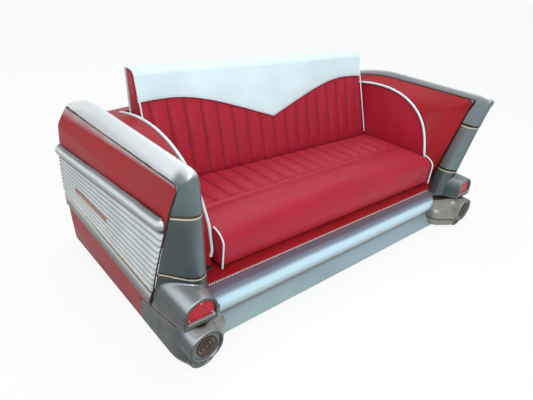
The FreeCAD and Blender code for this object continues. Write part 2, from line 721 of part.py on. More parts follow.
def trim_band(top, foot, proud):
    """Band on the side surface between two lines, each given as (front z, rear z)."""
    outline = [(seam_y(top[0]) + SEAM, top[0]), (BODY_DEPTH, top[1]), (BODY_DEPTH, foot[1]),
               (seam_y(foot[0]) + SEAM, foot[0])]
    return side_shell(0.0, proud).common(slab(outline, 0.0, 2 * SIDE_BULGE_X))


def rib_lines():
    """Upper and lower limits of the ribbed panel as (front z, rear z)."""
    front_y = seam_y(UPPER_MOULD_FRONT_Z)
    top = (upper_mould_z(front_y) - UPPER_MOULD_RADIUS - GAP, UPPER_MOULD_REAR_Z - UPPER_MOULD_RADIUS - GAP)
    foot = (LOWER_MOULD_TOP_FRONT_Z + GAP, LOWER_MOULD_TOP_REAR_Z + GAP)
    return top, foot


def rib_edge(count, y):
    """Height of a rib's lower edge at a station, counted in ribs up from the foot of the panel."""
    top, foot = [between(front_z, rear_z, y) for front_z, rear_z in rib_lines()]
    return foot + (top - foot) * count / RIB_COUNT


def rib_wire(y):
    """Scalloped section of the ribbed panel at a station."""
    edges = []
    for rib in range(RIB_COUNT):
        low, middle, high = [rib_edge(rib + share, y) for share in (0.0, 0.5, 1.0)]
        edges.append(arc(spot(side_x(low) + RIB_PLATE, y, low),
                         spot(side_x(middle) + RIB_PLATE + RIB_PROUD, y, middle),
                         spot(side_x(high) + RIB_PLATE, y, high)))
    foot, middle, top = [rib_edge(RIB_COUNT * share, y) for share in (0.0, 0.5, 1.0)]
    back = arc(*[spot(side_x(z) + GAP, y, z) for z in (top, middle, foot)])
    upper = line(edges[-1].Vertexes[-1].Point, back.Vertexes[0].Point)
    lower = line(back.Vertexes[-1].Point, edges[0].Vertexes[0].Point)
    return Part.Wire(edges + [upper, back, lower])


def ribbed_panel():
    """Plate with long half-round ribs that fan out towards the front, trimmed at the body seam."""
    front_y = seam_y(UPPER_MOULD_FRONT_Z)
    panel = Part.makeLoft([rib_wire(front_y), rib_wire(BODY_DEPTH)], True, True)
    return panel.common(behind_seam())


def lower_moulding():
    """Wide silver band under the ribs."""
    top = (LOWER_MOULD_TOP_FRONT_Z - CREAM_HEIGHT, LOWER_MOULD_TOP_REAR_Z - CREAM_HEIGHT)
    foot = (LOWER_MOULD_FOOT_FRONT_Z, LOWER_MOULD_FOOT_REAR_Z)
    return trim_band(top, foot, LOWER_MOULD_PROUD)


def cream_line():
    """Narrow cream line on top of the lower moulding."""
    top = (LOWER_MOULD_TOP_FRONT_Z, LOWER_MOULD_TOP_REAR_Z)
    foot = (top[0] - CREAM_HEIGHT, top[1] - CREAM_HEIGHT)
    return trim_band(top, foot, CREAM_PROUD)


def trim_bar():
    """Plain slim bar lying along the crest of one rib."""
    wires = []
    for y in (TRIM_BAR_Y - TRIM_BAR_LENGTH / 2, TRIM_BAR_Y + TRIM_BAR_LENGTH / 2):
        z = rib_edge((2 * TRIM_BAR_RIB - 1) / 2, y)
        x = side_x(z) + RIB_PLATE + RIB_PROUD
        low, high = z - TRIM_BAR_HEIGHT / 2, z + TRIM_BAR_HEIGHT / 2
        corners = [spot(x, y, low), spot(x + TRIM_BAR_THICK, y, low), spot(x + TRIM_BAR_THICK, y, high),
                   spot(x, y, high)]
        wires.append(Part.makePolygon(corners + corners[:1]))
    return Part.makeLoft(wires, True, True)


def arm_x(z):
    """Inner face of the arm at a height."""
    return ARM_X + ARM_LEAN * max(0.0, z - ARM_BEND_Z)


def arm_edge():
    """Edge of the arm's opening in the side plane, foot to rear, as a smooth flat edge at x = 0."""
    ends = ((ARM_FOOT_Y, DECK_Z + GAP),), ((ARM_REAR_Y, ARM_REAR_Z), (BODY_DEPTH, SHELF_REAR_Z))
    return curve([spot(0.0, y, z) for y, z in ends[0] + ARM_CURVE + ends[1]])


def arm_edge_samples():
    """Points (y, z) and outward directions along the arm edge, evenly spaced."""
    edge = arm_edge()
    samples = []
    for step in range(ARM_STEPS + 1):
        place = edge.FirstParameter + (edge.LastParameter - edge.FirstParameter) * step / ARM_STEPS
        point, along = edge.valueAt(place), edge.tangentAt(place)
        samples.append((point.y - SILL, point.z, -along.z, along.y))
    return samples


def fin_rim(share):
    """Point on the fin's inner outline, up the inner edge and back along the strip."""
    foot_z, top_z = DECK_Z + GAP, FIN_IN_Z
    rise = top_z - foot_z
    run = BODY_DEPTH - INNER_TOP_Y
    way = share * (rise + run)
    if way < rise:
        z = foot_z + way
        x, y = inner_edge(z)
        return spot(x - SEAM, y, z)
    y = INNER_TOP_Y + way - rise
    x, z = fin_inner(y)
    return spot(x - GAP, y, z)


def fin_inner_panel():
    """Red panel from the fin's inner outline to the edge of the arm, level at its foot."""
    wires = []
    for step, (y, z, out_y, out_z) in enumerate(arm_edge_samples()):
        back = FreeCAD.Vector(0, -out_y * SKIN, -out_z * SKIN if step else 0.0)
        rim, edge = fin_rim(step / ARM_STEPS), spot(arm_x(z), y, z)
        wires.append(Part.makePolygon([rim, edge, edge + back, rim + back, rim]))
    return Part.makeLoft(wires, True, True)


def arm_pad():
    """Upholstered pad inside the arm's edge."""
    top_z = FIN_CROWN_Z
    heights = (DECK_Z + GAP, ARM_BEND_Z, top_z)
    section = polygon([spot(arm_x(z), 0.0, z) for z in heights]
                      + [spot(arm_x(z) + ARM_THICK, 0.0, z) for z in reversed(heights)])
    inset = [spot(0.0, y - out_y * ARM_INSET, z - out_z * ARM_INSET)
             for y, z, out_y, out_z in arm_edge_samples() if y - out_y * ARM_INSET < ARM_REAR_Y]
    foot, rear = spot(0.0, inset[0].y - SILL, DECK_Z + GAP), spot(0.0, ARM_REAR_Y, inset[-1].z)
    corner = spot(0.0, ARM_REAR_Y, DECK_Z + GAP)
    side = face_of([line(foot, inset[0]), curve(inset), line(inset[-1], rear), line(rear, corner),
                    line(corner, foot)])
    block = section.extrude(FreeCAD.Vector(0, BODY_DEPTH, 0))
    return block.common(side.extrude(FreeCAD.Vector(BODY_DEPTH, 0, 0)))


def cord(path, radius):
    """Round cord along a smooth path."""
    first = path.Edges[0]
    ring = Part.makeCircle(radius, first.valueAt(first.FirstParameter), first.tangentAt(first.FirstParameter))
    return path.makePipeShell([Part.Wire([ring])], True, True)


def arm_piping():
    """White cord along the edge of the arm pad."""
    points = [spot(arm_x(z) - PIPING_RADIUS - GAP, y, z) for y, z, out_y, out_z in arm_edge_samples()
              if y < ARM_REAR_Y]
    points[0].z += PIPING_RADIUS
    return cord(Part.Wire([curve(points)]), PIPING_RADIUS)


def seat_outline(bottom, grow):
    """Edges of the seat's side profile at x = 0, front foot to top rear, grown outwards."""
    foot, front = spot(0.0, SEAT_FRONT_Y - grow, bottom), spot(0.0, SEAT_FRONT_Y - grow, SEAT_EDGE_Z)
    top, middle = spot(0.0, SEAT_ROLL_Y, SEAT_TOP_Z + grow), spot(0.0, SEAT_ROLL_Y, SEAT_EDGE_Z)
    roll = Part.ArcOfEllipse(Part.Ellipse(front, top, middle), 0.0, math.pi / 2).toShape()
    return [line(foot, front), roll, line(top, spot(0.0, SEAT_SEAM_Y, SEAT_TOP_Z + grow))]


def seat_cushion():
    """Loose seat cushion: foam and cover as one closed solid, on its board."""
    bottom = DECK_Z + GAP + SEAT_BOARD
    edges = seat_outline(bottom, 0.0)
    rear, low_rear = spot(0.0, SEAT_REAR_Y, SEAT_REAR_Z), spot(0.0, SEAT_REAR_Y, bottom)
    corners = [spot(0.0, SEAT_SEAM_Y, SEAT_TOP_Z), rear, low_rear, spot(0.0, SEAT_FRONT_Y, bottom)]
    side = face_of(edges + [line(a, b) for a, b in zip(corners, corners[1:])])
    side.translate(FreeCAD.Vector(-SEAT_HALF, 0, 0))
    return side.extrude(FreeCAD.Vector(2 * SEAT_HALF, 0, 0))


def seat_board():
    """Plywood base of the seat cushion."""
    half = SEAT_HALF - SEAT_BOARD_INSET
    return box(-half, half, SEAT_FRONT_Y + SEAT_BOARD_INSET, SEAT_REAR_Y - SEAT_BOARD_INSET, DECK_Z + GAP,
               DECK_Z + GAP + SEAT_BOARD)


def seat_piping():
    """White cords along the front corners of the seat cushion, just inside its sides."""
    path = Part.Wire(seat_outline(DECK_Z + GAP + SEAT_BOARD, SEAT_PIPING_RADIUS + GAP)[:2])
    path.translate(FreeCAD.Vector(SEAT_HALF - SEAT_PIPING_RADIUS, 0, 0))
    return both(cord(path, SEAT_PIPING_RADIUS))


def back_front_y(z):
    """Front face of the backrest at a height."""
    return BACK_FRONT_Y + BACK_LEAN * max(0.0, z - BACK_BEND_Z)


def back_rear_y(z):
    """Rear face of the backrest at a height."""
    return BACK_TOP_REAR_Y - BACK_REAR_LEAN * (BACK_TOP_Z - z)


def back_profile(grow, rear_inset, foot_z):
    """Side face of the backrest at x = 0, grown forward and up, with its rear face moved in."""
    top = BACK_TOP_Z + grow
    bend = BACK_BEND_Z
    low, knee = spot(0.0, BACK_FRONT_Y - grow, foot_z), spot(0.0, BACK_FRONT_Y - grow, bend)
    under = spot(0.0, back_front_y(top - BACK_ROUND) - grow, top - BACK_ROUND)
    over = spot(0.0, back_front_y(top) - grow + BACK_ROUND, top)
    turn = spot(0.0, back_front_y(top) - grow + BACK_TURN_IN * BACK_ROUND, top - BACK_TURN_DOWN * BACK_ROUND)
    rear_top = spot(0.0, back_rear_y(top) - rear_inset, top)
    rear_low = spot(0.0, back_rear_y(foot_z) - rear_inset, foot_z)
    return face_of([line(low, knee), line(knee, under), arc(under, turn, over), line(over, rear_top),
                    line(rear_top, rear_low), line(rear_low, low)])


def back_block(half, grow, rear_inset, foot_z):
    """Backrest shape stretched across the sofa."""
    side = back_profile(grow, rear_inset, foot_z)
    side.translate(FreeCAD.Vector(-half, 0, 0))
    return side.extrude(FreeCAD.Vector(2 * half, 0, 0))


def back_pocket(front_depth, half):
    """Space in the backrest behind its foam, for the board and the uprights."""
    top = BACK_TOP_Z - BACK_FOAM
    outline = [(back_front_y(BACK_FOOT) + front_depth, DECK_Z),
               (back_front_y(BACK_BEND_Z) + front_depth, BACK_BEND_Z), (back_front_y(top) + front_depth, top),
               (BODY_DEPTH, top), (BODY_DEPTH, DECK_Z)]
    return slab(outline, -half, half)


def backrest_cushion():
    """Backrest foam and red cover, hollow behind for its board and uprights."""
    half = BACK_HALF - BACK_CHEEK
    return back_block(BACK_HALF, 0.0, COVER_THICK, BACK_FOOT).cut(back_pocket(BACK_FOAM, half))


def yoke_edge(y):
    """Lower edge of the white yoke from end to end, in the plane at y."""
    right = [(0.0, YOKE_POINT_Z), (YOKE_MID_X, YOKE_MID_Z), (YOKE_CREST_X, YOKE_CREST_Z),
             (BACK_HALF, YOKE_END_Z)]
    left = [(-x, z) for x, z in reversed(right)]
    return [curve([spot(x, y, z) for x, z in side]) for side in (left, right)]


def backrest_yoke():
    """White panel over the upper front and the top, with a brace-shaped lower edge."""
    left, right = yoke_edge(0.0)
    top = BACK_TOP_Z + BACK_ROUND
    corners = [spot(BACK_HALF, 0.0, top), spot(-BACK_HALF, 0.0, top)]
    ends = [spot(BACK_HALF, 0.0, YOKE_END_Z), spot(-BACK_HALF, 0.0, YOKE_END_Z)]
    window = face_of([left, right, line(ends[0], corners[0]), line(corners[0], corners[1]),
                      line(corners[1], ends[1])])
    skin = back_block(BACK_HALF, YOKE_THICK, COVER_THICK, BACK_FOOT).cut(
        back_block(BACK_HALF + SKIN, 0.0, COVER_THICK, BACK_FOOT))
    return skin.common(window.extrude(FreeCAD.Vector(0, BODY_DEPTH, 0)))


def backrest_rear_cover():
    """Pale panel that closes the back of the backrest."""
    low, high = BACK_FOOT, BACK_TOP_Z
    outline = [(back_rear_y(low) - COVER_THICK, low), (back_rear_y(high) - COVER_THICK, high),
               (back_rear_y(high), high), (back_rear_y(low), low)]
    return slab(outline, -BACK_HALF, BACK_HALF)


def backrest_piping():
    """White cords down the two front corners of the backrest, beside the yoke and the pleats."""
    reach = SEAT_PIPING_RADIUS + YOKE_THICK + GAP
    x = BACK_HALF - SEAT_PIPING_RADIUS
    heights = (SEAT_REAR_Z + 2 * SEAT_PIPING_RADIUS, BACK_TOP_Z - 2 * BACK_ROUND)
    start, end = [spot(x, back_front_y(z) - reach, z) for z in heights]
    return both(Part.makeCylinder(SEAT_PIPING_RADIUS, (end - start).Length, start, end - start))


def back_board():
    """Plywood board behind the backrest foam."""
    half = BACK_HALF - BACK_CHEEK - GAP
    top = BACK_TOP_Z - BACK_FOAM - GAP
    front = BACK_FOAM + GAP
    heights = (BACK_FOOT, BACK_BEND_Z, top)
    outline = [(back_front_y(z) + front, z) for z in heights]
    outline += [(back_front_y(z) + front + BACK_BOARD, z) for z in reversed(heights)]
    return slab(outline, -half, half)


def back_uprights():
    """Tapered uprights between the back board and the rear cover, down to the rear base rail."""
    foot = GLIDE_HIGH + TIMBER + GAP
    top = BACK_TOP_Z - BACK_FOAM - GAP
    front = BACK_FOAM + BACK_BOARD + 2 * GAP
    rear = COVER_THICK + GAP
    outline = [(back_front_y(z) + front, z) for z in (BACK_FOOT, BACK_BEND_Z, top)]
    outline += [(back_rear_y(z) - rear, z) for z in (top, BACK_FOOT)]
    outline += [(FRAME_REAR_Y + TIMBER, BACK_FOOT - TIMBER), (FRAME_REAR_Y + TIMBER, foot)]
    outline += [(FRAME_REAR_Y, foot), (FRAME_REAR_Y, BACK_FOOT - 2 * TIMBER)]
    posts = []
    for x in UPRIGHT_X:
        for side in (-x, x):
            posts.append(slab(outline, side - UPRIGHT_WIDE / 2, side + UPRIGHT_WIDE / 2))
    return Part.makeCompound(posts)


def shelf_arc(y, edge_z, drop):
    """Crowned edge across the rear shelf at a station, lowered a little."""
    half = arm_x(edge_z) - GAP
    low, high = edge_z - drop, edge_z + SHELF_RISE - drop
    return arc(spot(-half, y, low), spot(0.0, y, high), spot(half, y, low))


def rear_shelf():
    """Crowned red panel behind the backrest, falling to the rear between the fins."""
    wires = []
    for y, edge_z in ((ARM_REAR_Y, ARM_REAR_Z), (BODY_DEPTH, SHELF_REAR_Z)):
        upper, lower = shelf_arc(y, edge_z, 0.0), shelf_arc(y, edge_z, SKIN)
        wires.append(Part.Wire([upper, line(upper.Vertexes[-1].Point, lower.Vertexes[-1].Point), lower,
                                line(lower.Vertexes[0].Point, upper.Vertexes[0].Point)]))
    return Part.makeLoft(wires, True, True)


def rear_screw_spots():
    """Middles of the rear panel's screws as (x, z), in two rows."""
    rows = (SHELL_LIFT + TIMBER / 2, SHELF_REAR_Z - TIMBER)
    return [(side * x, z) for z in rows for x in REAR_SCREW_X for side in (-1, 1)]


def rear_panel():
    """Plywood panel that closes the back inside the shell, drilled for its screws."""
    y = BODY_DEPTH - REAR_INSET - REAR_BOARD
    drop = SKIN + 2 * GAP
    low, high = side_section(BODY_DEPTH, SKIN + GAP)
    low.translate(FreeCAD.Vector(0, y - BODY_DEPTH, 0))
    high.translate(FreeCAD.Vector(0, y - BODY_DEPTH, 0))
    inner_x, inner_z = fin_inner(BODY_DEPTH)
    crown = shelf_arc(y, SHELF_REAR_Z, 2 * drop)
    fin = [high.Vertexes[-1].Point, spot(inner_x, y, inner_z - 2 * drop), crown.Vertexes[-1].Point]
    right = [low, high] + [line(a, b) for a, b in zip(fin, fin[1:])]
    left = [edge.mirror(CENTRE, MIRROR_AXIS) for edge in right]
    foot = low.Vertexes[0].Point
    base = line(FreeCAD.Vector(-foot.x, foot.y, foot.z), foot)
    panel = Part.Face(Part.Wire(Part.__sortEdges__([base] + right + [crown] + left)))
    panel = panel.extrude(FreeCAD.Vector(0, REAR_BOARD, 0))
    for x, z in rear_screw_spots():
        panel = panel.cut(along_y(x, y - GAP, z, SCREW_SHANK + GAP, REAR_BOARD + 2 * GAP))
    return panel


def rear_panel_screws():
    """Round-headed screws through the rear panel."""
    face = BODY_DEPTH - REAR_INSET
    screws = []
    for x, z in rear_screw_spots():
        screws.append(along_y(x, face - REAR_BOARD, z, SCREW_SHANK, REAR_BOARD).fuse(
            along_y(x, face, z, SCREW_HEAD_RADIUS, SCREW_HEAD)))
    return Part.makeCompound(screws)


def base_long_rails():
    """Two timber rails across the base, front and rear."""
    rails = [box(-FRAME_HALF, FRAME_HALF, y, y + TIMBER, GLIDE_HIGH, GLIDE_HIGH + TIMBER)
             for y in (FRAME_FRONT_Y, FRAME_REAR_Y)]
    return Part.makeCompound(rails)


def base_cross_rails():
    """Timber rails between the two long ones."""
    rails = []
    for x in CROSS_X:
        for side in (-x, x):
            rails.append(box(side - TIMBER / 2, side + TIMBER / 2, FRAME_FRONT_Y + TIMBER, FRAME_REAR_Y,
                             GLIDE_HIGH, GLIDE_HIGH + TIMBER))
    return Part.makeCompound(rails)


def seat_rail_foot():
    """Underside of the seat rails."""
    return DECK_Z - SKIN - PLATFORM - TIMBER


def seat_rails():
    """Two timber rails that carry the seat platform."""
    foot = seat_rail_foot()
    rails = [box(-SEAT_RAIL_HALF, SEAT_RAIL_HALF, y, y + TIMBER, foot, foot + TIMBER)
             for y in (FRAME_FRONT_Y, SEAT_RAIL_REAR_Y)]
    return Part.makeCompound(rails)


def seat_posts():
    """Posts from the base to the seat rails: three on the front rail, and one on each inner cross rail."""
    foot, top = GLIDE_HIGH + TIMBER, seat_rail_foot()
    places = [(x, FRAME_FRONT_Y) for x in (-POST_X, 0.0, POST_X)]
    places += [(x, SEAT_RAIL_REAR_Y) for x in (-CROSS_X[0], CROSS_X[0])]
    posts = [box(x - TIMBER / 2, x + TIMBER / 2, y, y + TIMBER, foot, top) for x, y in places]
    return Part.makeCompound(posts)


def seat_platform():
    """Plywood under the deck, on the seat rails."""
    top = DECK_Z - SKIN
    rear_y = SEAT_RAIL_REAR_Y + TIMBER
    return box(-SEAT_RAIL_HALF, SEAT_RAIL_HALF, PLATFORM_FRONT_Y, rear_y, top - PLATFORM, top)


def glides():
    """Plastic glides under the long rails."""
    pads = []
    for x in (-CROSS_X[1], 0.0, CROSS_X[1]):
        for y in (FRAME_FRONT_Y, FRAME_REAR_Y):
            pads.append(Part.makeCylinder(GLIDE_RADIUS, GLIDE_HIGH, spot(x, y + TIMBER / 2, 0.0)))
    return Part.makeCompound(pads)


PAIRS = (quarter_panel, fin_strip, fin_tip, fin_bezel, lamp_housing, lamp_lens, lens_screws, bumper_end,
         port_insert, lower_port_insert, upper_moulding, ribbed_panel, cream_line, lower_moulding, trim_bar,
         fin_inner_panel, arm_pad, arm_piping)
SINGLES = (bumper_bar, valance, front_deck, deck_trim, seat_cushion, seat_board, seat_piping,
           backrest_cushion, backrest_yoke, backrest_rear_cover, backrest_piping, back_board, back_uprights,
           rear_shelf, rear_panel, rear_panel_screws, base_long_rails, base_cross_rails, seat_rails,
           seat_posts, seat_platform, glides)

os.makedirs("parts", exist_ok=True)
for make in PAIRS:
    save_pair(make.__name__, make())
for make in SINGLES:
    save(make.__name__, make())
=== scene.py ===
import math

import bmesh
import bpy
import numpy as np
from bpy.props import FloatProperty, FloatVectorProperty, IntProperty, PointerProperty
from mathutils import Matrix, Vector


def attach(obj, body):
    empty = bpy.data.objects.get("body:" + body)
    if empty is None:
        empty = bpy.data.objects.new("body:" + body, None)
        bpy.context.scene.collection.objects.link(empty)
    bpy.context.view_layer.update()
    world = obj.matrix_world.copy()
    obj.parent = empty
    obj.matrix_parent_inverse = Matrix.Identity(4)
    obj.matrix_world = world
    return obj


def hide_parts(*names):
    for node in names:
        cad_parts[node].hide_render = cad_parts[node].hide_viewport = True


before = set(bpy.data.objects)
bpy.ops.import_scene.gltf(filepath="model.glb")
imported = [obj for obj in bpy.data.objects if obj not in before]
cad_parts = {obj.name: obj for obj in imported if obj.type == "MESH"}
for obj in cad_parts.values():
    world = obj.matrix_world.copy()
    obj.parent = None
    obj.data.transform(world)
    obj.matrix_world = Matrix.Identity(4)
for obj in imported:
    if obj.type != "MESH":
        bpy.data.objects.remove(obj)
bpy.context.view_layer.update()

bl_info = {
    "name": "Car tail sofa",
    "version": (1, 0, 0),
    "blender": (4, 5, 0),
    "location": "3D View > Sidebar > Sofa",
    "description": "Paint, trim and upholstery of a sofa shaped like the tail of a finned car",
    "category": "Add Mesh",
}

SHELL = "sofa_body"
SEAT = "seat_unit"

# Sizes shared with the solids, in millimetres from the front foot line of the body.
SILL = -400.0
BODY_DEPTH = 905.0
SEAM = 0.8
GAP = 0.3
FIN_OUT_Z = 682.0
FIN_IN = (868.0, 703.0)
IN_FALL = (60.0, 58.0)
OUT_FALL_Z = 43.0
FALL_START = 540.0
FALL_POWER = 1.6
SEAM_TOP_Y = -27.0
SEAM_LEAN = 0.319
INNER_TOP = (862.0, 28.0)
INNER_LEAN = (0.160, 0.155)
TIP_SEAM_Z = 575.0
LAMP_SEAM_Z = 322.0
BUMPER_SEAM_Z = 184.0
BUMPER_SEAM_FALL = 0.198
HOOD_FRONT_Y = -70.0
HOOD_REAR_Y = 150.0
BUMPER_REAR_Y = 232.0
LIP_Z = 54.0
SIDE_POINTS = ((918.0, 0.0), (940.0, 390.0), (936.0, 566.0))
DECK_Z = 241.0
ARM_X = 708.0
ARM_BEND_Z = 400.0
ARM_LEAN = 0.136
ARM_EDGE = ((98.0, 241.3), (150.0, 440.0), (205.0, 548.0), (330.0, 640.0), (540.0, 672.0), (745.0, 640.0),
            (905.0, 596.0))
SEAT_HALF = 692.0
SEAT_FRONT_Y = 68.0
SEAT_REAR_Y = 534.4
SEAT_FOOT_Z = 253.3
SEAT_EDGE_Z = 350.0
SEAT_TOP_Z = 394.0
SEAT_ROLL_Y = 150.0
SEAT_SEAM_Y = 262.0
BACK_HALF = 698.0
BACK_FRONT_Y = 547.0
BACK_BEND_Z = 387.0
BACK_LEAN = 0.346
BACK_TOP_Z = 816.0
BACK_REAR_TOP_Y = 766.0
BACK_ROUND = 26.0
COVER_THICK = 8.0
YOKE_THICK = 4.0
YOKE_EDGE = ((0.0, 564.0), (235.0, 641.0), (520.0, 703.0), (698.0, 699.0))
UPPER_TRIM = (506.0, 429.7)
UPPER_MOULD = (506.0, 430.0, 54.0)
LOWER_TRIM = (240.3, 264.3)
LOWER_MOULD = (156.0, 196.0, 76.0)
PORT = (860.0, 114.0)
LOWER_PORT = (860.0, 58.0)
PORT_RIM = 46.0
BAR_FOOT_Z = 73.0

# Sizes of the pieces that this script shapes, and of the camera's sensor, in millimetres.
FIN_HOLLOW = 8.0
FIN_SKIN = 5.0
ARM_CORD_OUT = 6.3
ARM_CORD_TUCK = 9.0
ARM_CORD_TURN = 26.0
ARM_CORD_END_Y = ARM_EDGE[5][0] - 2.0
ARM_HEM_RISE = 46.0
SEAT_CORD_OUT = 4.0
BACK_CORD_OUT = 6.5
BACK_CORD_IN = 4.2
BACK_CORD_ENDS = (396.0, 764.0)
BACK_SINK = 3.0
YOKE_PUFF = 3.0
YOKE_SKIN = 3.0
YOKE_TUCK = 2.5
SENSOR_WIDTH = 36.0

# Turn of the seat cords over the front roll, rounds of extra smoothing on the bumper ends, and steps of
# the cloth filling.
SEAT_CORD_TURN = 0.42 * math.pi
SMOOTH_ROUNDS = 60
FILL_STEPS = 20

# Places in the frame between which one tone passes into the next, and pitches of beads and rings, in metres.
# SIDE_SHADE_Z places painted shade on the red sides towards the floor.
SIDE_SHADE_Z = (0.20, 0.02)
# TIP_LIGHT_Z places painted light on the silver towards the fin tips.
TIP_LIGHT_Z = (0.52, 0.66)
LOW_FADE_Z = (0.335, 0.305)
WARM_FADE_Z = (0.20, 0.14)
OUTER_FADE_X = (0.885, 0.895)
STRIP_FADE_Z = (0.694, 0.686)
CREASE_FADE_Y = (-0.26, -0.34)
BEAD_PITCH = 0.010
RING_PITCH = 0.0135

# Tones that only one finish uses; a band has the place where it starts, where it is full, and its colour.
# PAINTED_GLINT is a painted highlight on the hoods and noses of the tail ends.
PAINTED_GLINT = (0.62, 0.69, 0.74, 1.0)
WARM_SILVER = (0.44, 0.41, 0.34, 1.0)
# PALE_SEAM is the tan line beside a seam, partly a painted highlight on the seam's edge.
PALE_SEAM = (0.56, 0.50, 0.38, 1.0)
RING_TONE = (0.29, 0.26, 0.21, 1.0)
BEAD_TONE = (0.74, 0.74, 0.72, 1.0)
VALANCE_TONES = ((0.34, 0.46, 0.50, 1.0), (0.42, 0.55, 0.59, 1.0))
# The bar's bands are painted light and shade by height: painted shade at its foot, a painted highlight band,
# and painted shade with a painted reflection of the red deck at its top.
BAR_LIGHT_BANDS = ((0.074, 0.080, (0.085, 0.105, 0.11, 1.0)), (0.084, 0.120, (0.12, 0.145, 0.155, 1.0)),
             (0.118, 0.150, (0.42, 0.56, 0.62, 1.0)), (0.146, 0.170, (0.58, 0.82, 0.94, 1.0)),
             (0.184, 0.206, (0.20, 0.235, 0.30, 1.0)), (0.206, 0.222, (0.135, 0.095, 0.135, 1.0)),
             (0.228, 0.240, (0.16, 0.055, 0.085, 1.0)))
# A moulding's bands across its height are painted light and shade: painted shade above its dark brown foot, a
# painted highlight band, and a grey top under a dark brown edge.
MOULDING_FOOT = (0.055, 0.038, 0.028, 1.0)
MOULDING_LIGHT_BANDS = ((0.06, 0.20, (0.15, 0.16, 0.16)), (0.25, 0.50, (0.33, 0.36, 0.365)),
                  (0.52, 0.68, (0.74, 0.79, 0.80)), (0.78, 0.90, (0.26, 0.27, 0.27)),
                  (0.95, 1.02, (0.07, 0.05, 0.036)))
# The lower moulding is a darker copy of the same bands, painted shade.
UPPER_TONE = 0.92
LOWER_TONE = 0.6
SOFTWOOD = (0.50, 0.33, 0.17)
PLYWOOD = (0.56, 0.40, 0.24)
STEEL_TONES = ((0.42, 0.42, 0.41, 1.0), (0.66, 0.65, 0.63, 1.0))
PLASTIC_TONES = ((0.02, 0.02, 0.021, 1.0), (0.12, 0.115, 0.11, 1.0))

# Stage: tones, the share of its own light that the floor shows, its half width in metres, and each lamp's
# name, place, aim and size.
FLOOR_TONE = (0.92, 0.92, 0.92, 1.0)
SKY_TONE = (0.94, 0.97, 1.0, 1.0)
FLOOR_GLOW = 0.88
FLOOR_HALF = 60.0
LAMPS = (("key lamp", (-2.2, -2.6, 3.4), (0.0, 0.0, 0.4), 2.6),
         ("overhead lamp", (0.8, 1.0, 3.6), (0.0, 0.1, 0.4), 3.0))


def tint(name, description, *parts):
    """Colour property with its red, green and blue."""
    return FloatVectorProperty(name=name, description=description, subtype="COLOR", size=4, min=0.0, max=1.0,
                               default=parts + (1.0,))


def length(name, description, default, least):
    """Length property in metres."""
    return FloatProperty(name=name, description=description, default=default, min=least, unit="LENGTH")


class SofaPaint(bpy.types.PropertyGroup):
    """Colours of the painted body."""
    red: tint("Red", "Body paint", 0.34, 0.012, 0.018)
    # silver and silver_shaded are lit and shaded copies of one silver paint; silver_shaded, made lighter,
    # also colours small silver rims and corners.
    silver: tint("Silver", "Silver paint in the open", 0.62, 0.66, 0.67)
    silver_shaded: tint("Deep silver", "Silver paint on faces that look sideways", 0.108, 0.146, 0.152)
    rib: tint("Ribs", "Blue-grey paint of the ribbed panels", 0.60, 0.65, 0.65)
    cream: tint("Cream", "Line over the lower moulding", 0.80, 0.64, 0.42)
    copper: tint("Copper", "Plain bar on the ribs", 0.36, 0.15, 0.075)
    tan: tint("Tan", "Rim of the brown wash beside a seam", 0.26, 0.19, 0.12)
    brown: tint("Brown", "Brown wash in the seams", 0.036, 0.018, 0.012)
    lens: tint("Lens", "Lamp plates", 0.46, 0.010, 0.024)
    corner: length("Panel corner", "Radius of the red panel's upper front corner", 0.026, 0.005)


class SofaCover(bpy.types.PropertyGroup):
    """Upholstery of the seat, the back and the arms."""
    red: tint("Red vinyl", "Main cover", 0.42, 0.012, 0.034)
    white: tint("White vinyl", "Yoke and piping", 0.72, 0.91, 0.96)
    pleat: length("Pleat", "Width of one pleat", 0.081, 0.03)
    pleat_depth: length("Pleat depth", "Depth of the sewn channel", 0.008, 0.0)
    pressure: FloatProperty(name="Pressure", description="How hard the foam fills the cover", default=4.0,
                            min=0.0, max=12.0)
    arm_piping: length("Arm piping", "Radius of the cord round the arms", 0.0062, 0.002)
    piping: length("Piping", "Radius of the cords on seat and back", 0.0035, 0.002)


class SofaTrim(bpy.types.PropertyGroup):
    """Ribbed panels on the sides."""
    ribs: IntProperty(name="Ribs", description="Number of ribs on a side", default=10, min=3, max=20)
    proud: length("Rib height", "How far a rib stands out of its plate", 0.0075, 0.001)
    plate: length("Plate", "Thickness of the plate under the ribs", 0.003, 0.001)


class SofaStage(bpy.types.PropertyGroup):
    """Camera and light."""
    azimuth: FloatProperty(name="Azimuth", description="Camera direction round the sofa",
                           default=math.radians(-43.47), subtype="ANGLE")
    elevation: FloatProperty(name="Elevation", description="Camera direction above the floor",
                             default=math.radians(27.99), subtype="ANGLE")
    roll: FloatProperty(name="Roll", description="Tilt of the picture", default=math.radians(5.9),
                        subtype="ANGLE")
    lens: FloatProperty(name="Lens", description="Focal length on the sensor, in millimetres", default=30.2,
                        min=10.0)
    place: FloatVectorProperty(name="Camera", description="Where the camera stands", size=3,
                               default=(-1.48423, -1.36794, 1.23927), subtype="TRANSLATION")
    sky: FloatProperty(name="Sky", description="Strength of the light from all round", default=0.66, min=0.0)
    key: FloatProperty(name="Key", description="Power of the large soft lamp", default=82.0, min=0.0)
    fill: FloatProperty(name="Fill", description="Power of the overhead lamp", default=46.0, min=0.0)


def spots(points):
    """Millimetres from the front foot line to metres in the frame, as an array of rows x, y, z."""
    return (np.asarray(points, float) + (0.0, SILL, 0.0)) / 1000.0


def depth(way):
    """Millimetres behind the front foot line to metres in the frame."""
    return (way + SILL) / 1000.0


def in_mm(places):
    """Metres in the frame to millimetres from the front foot line."""
    return places * 1000.0 - (0.0, SILL, 0.0)


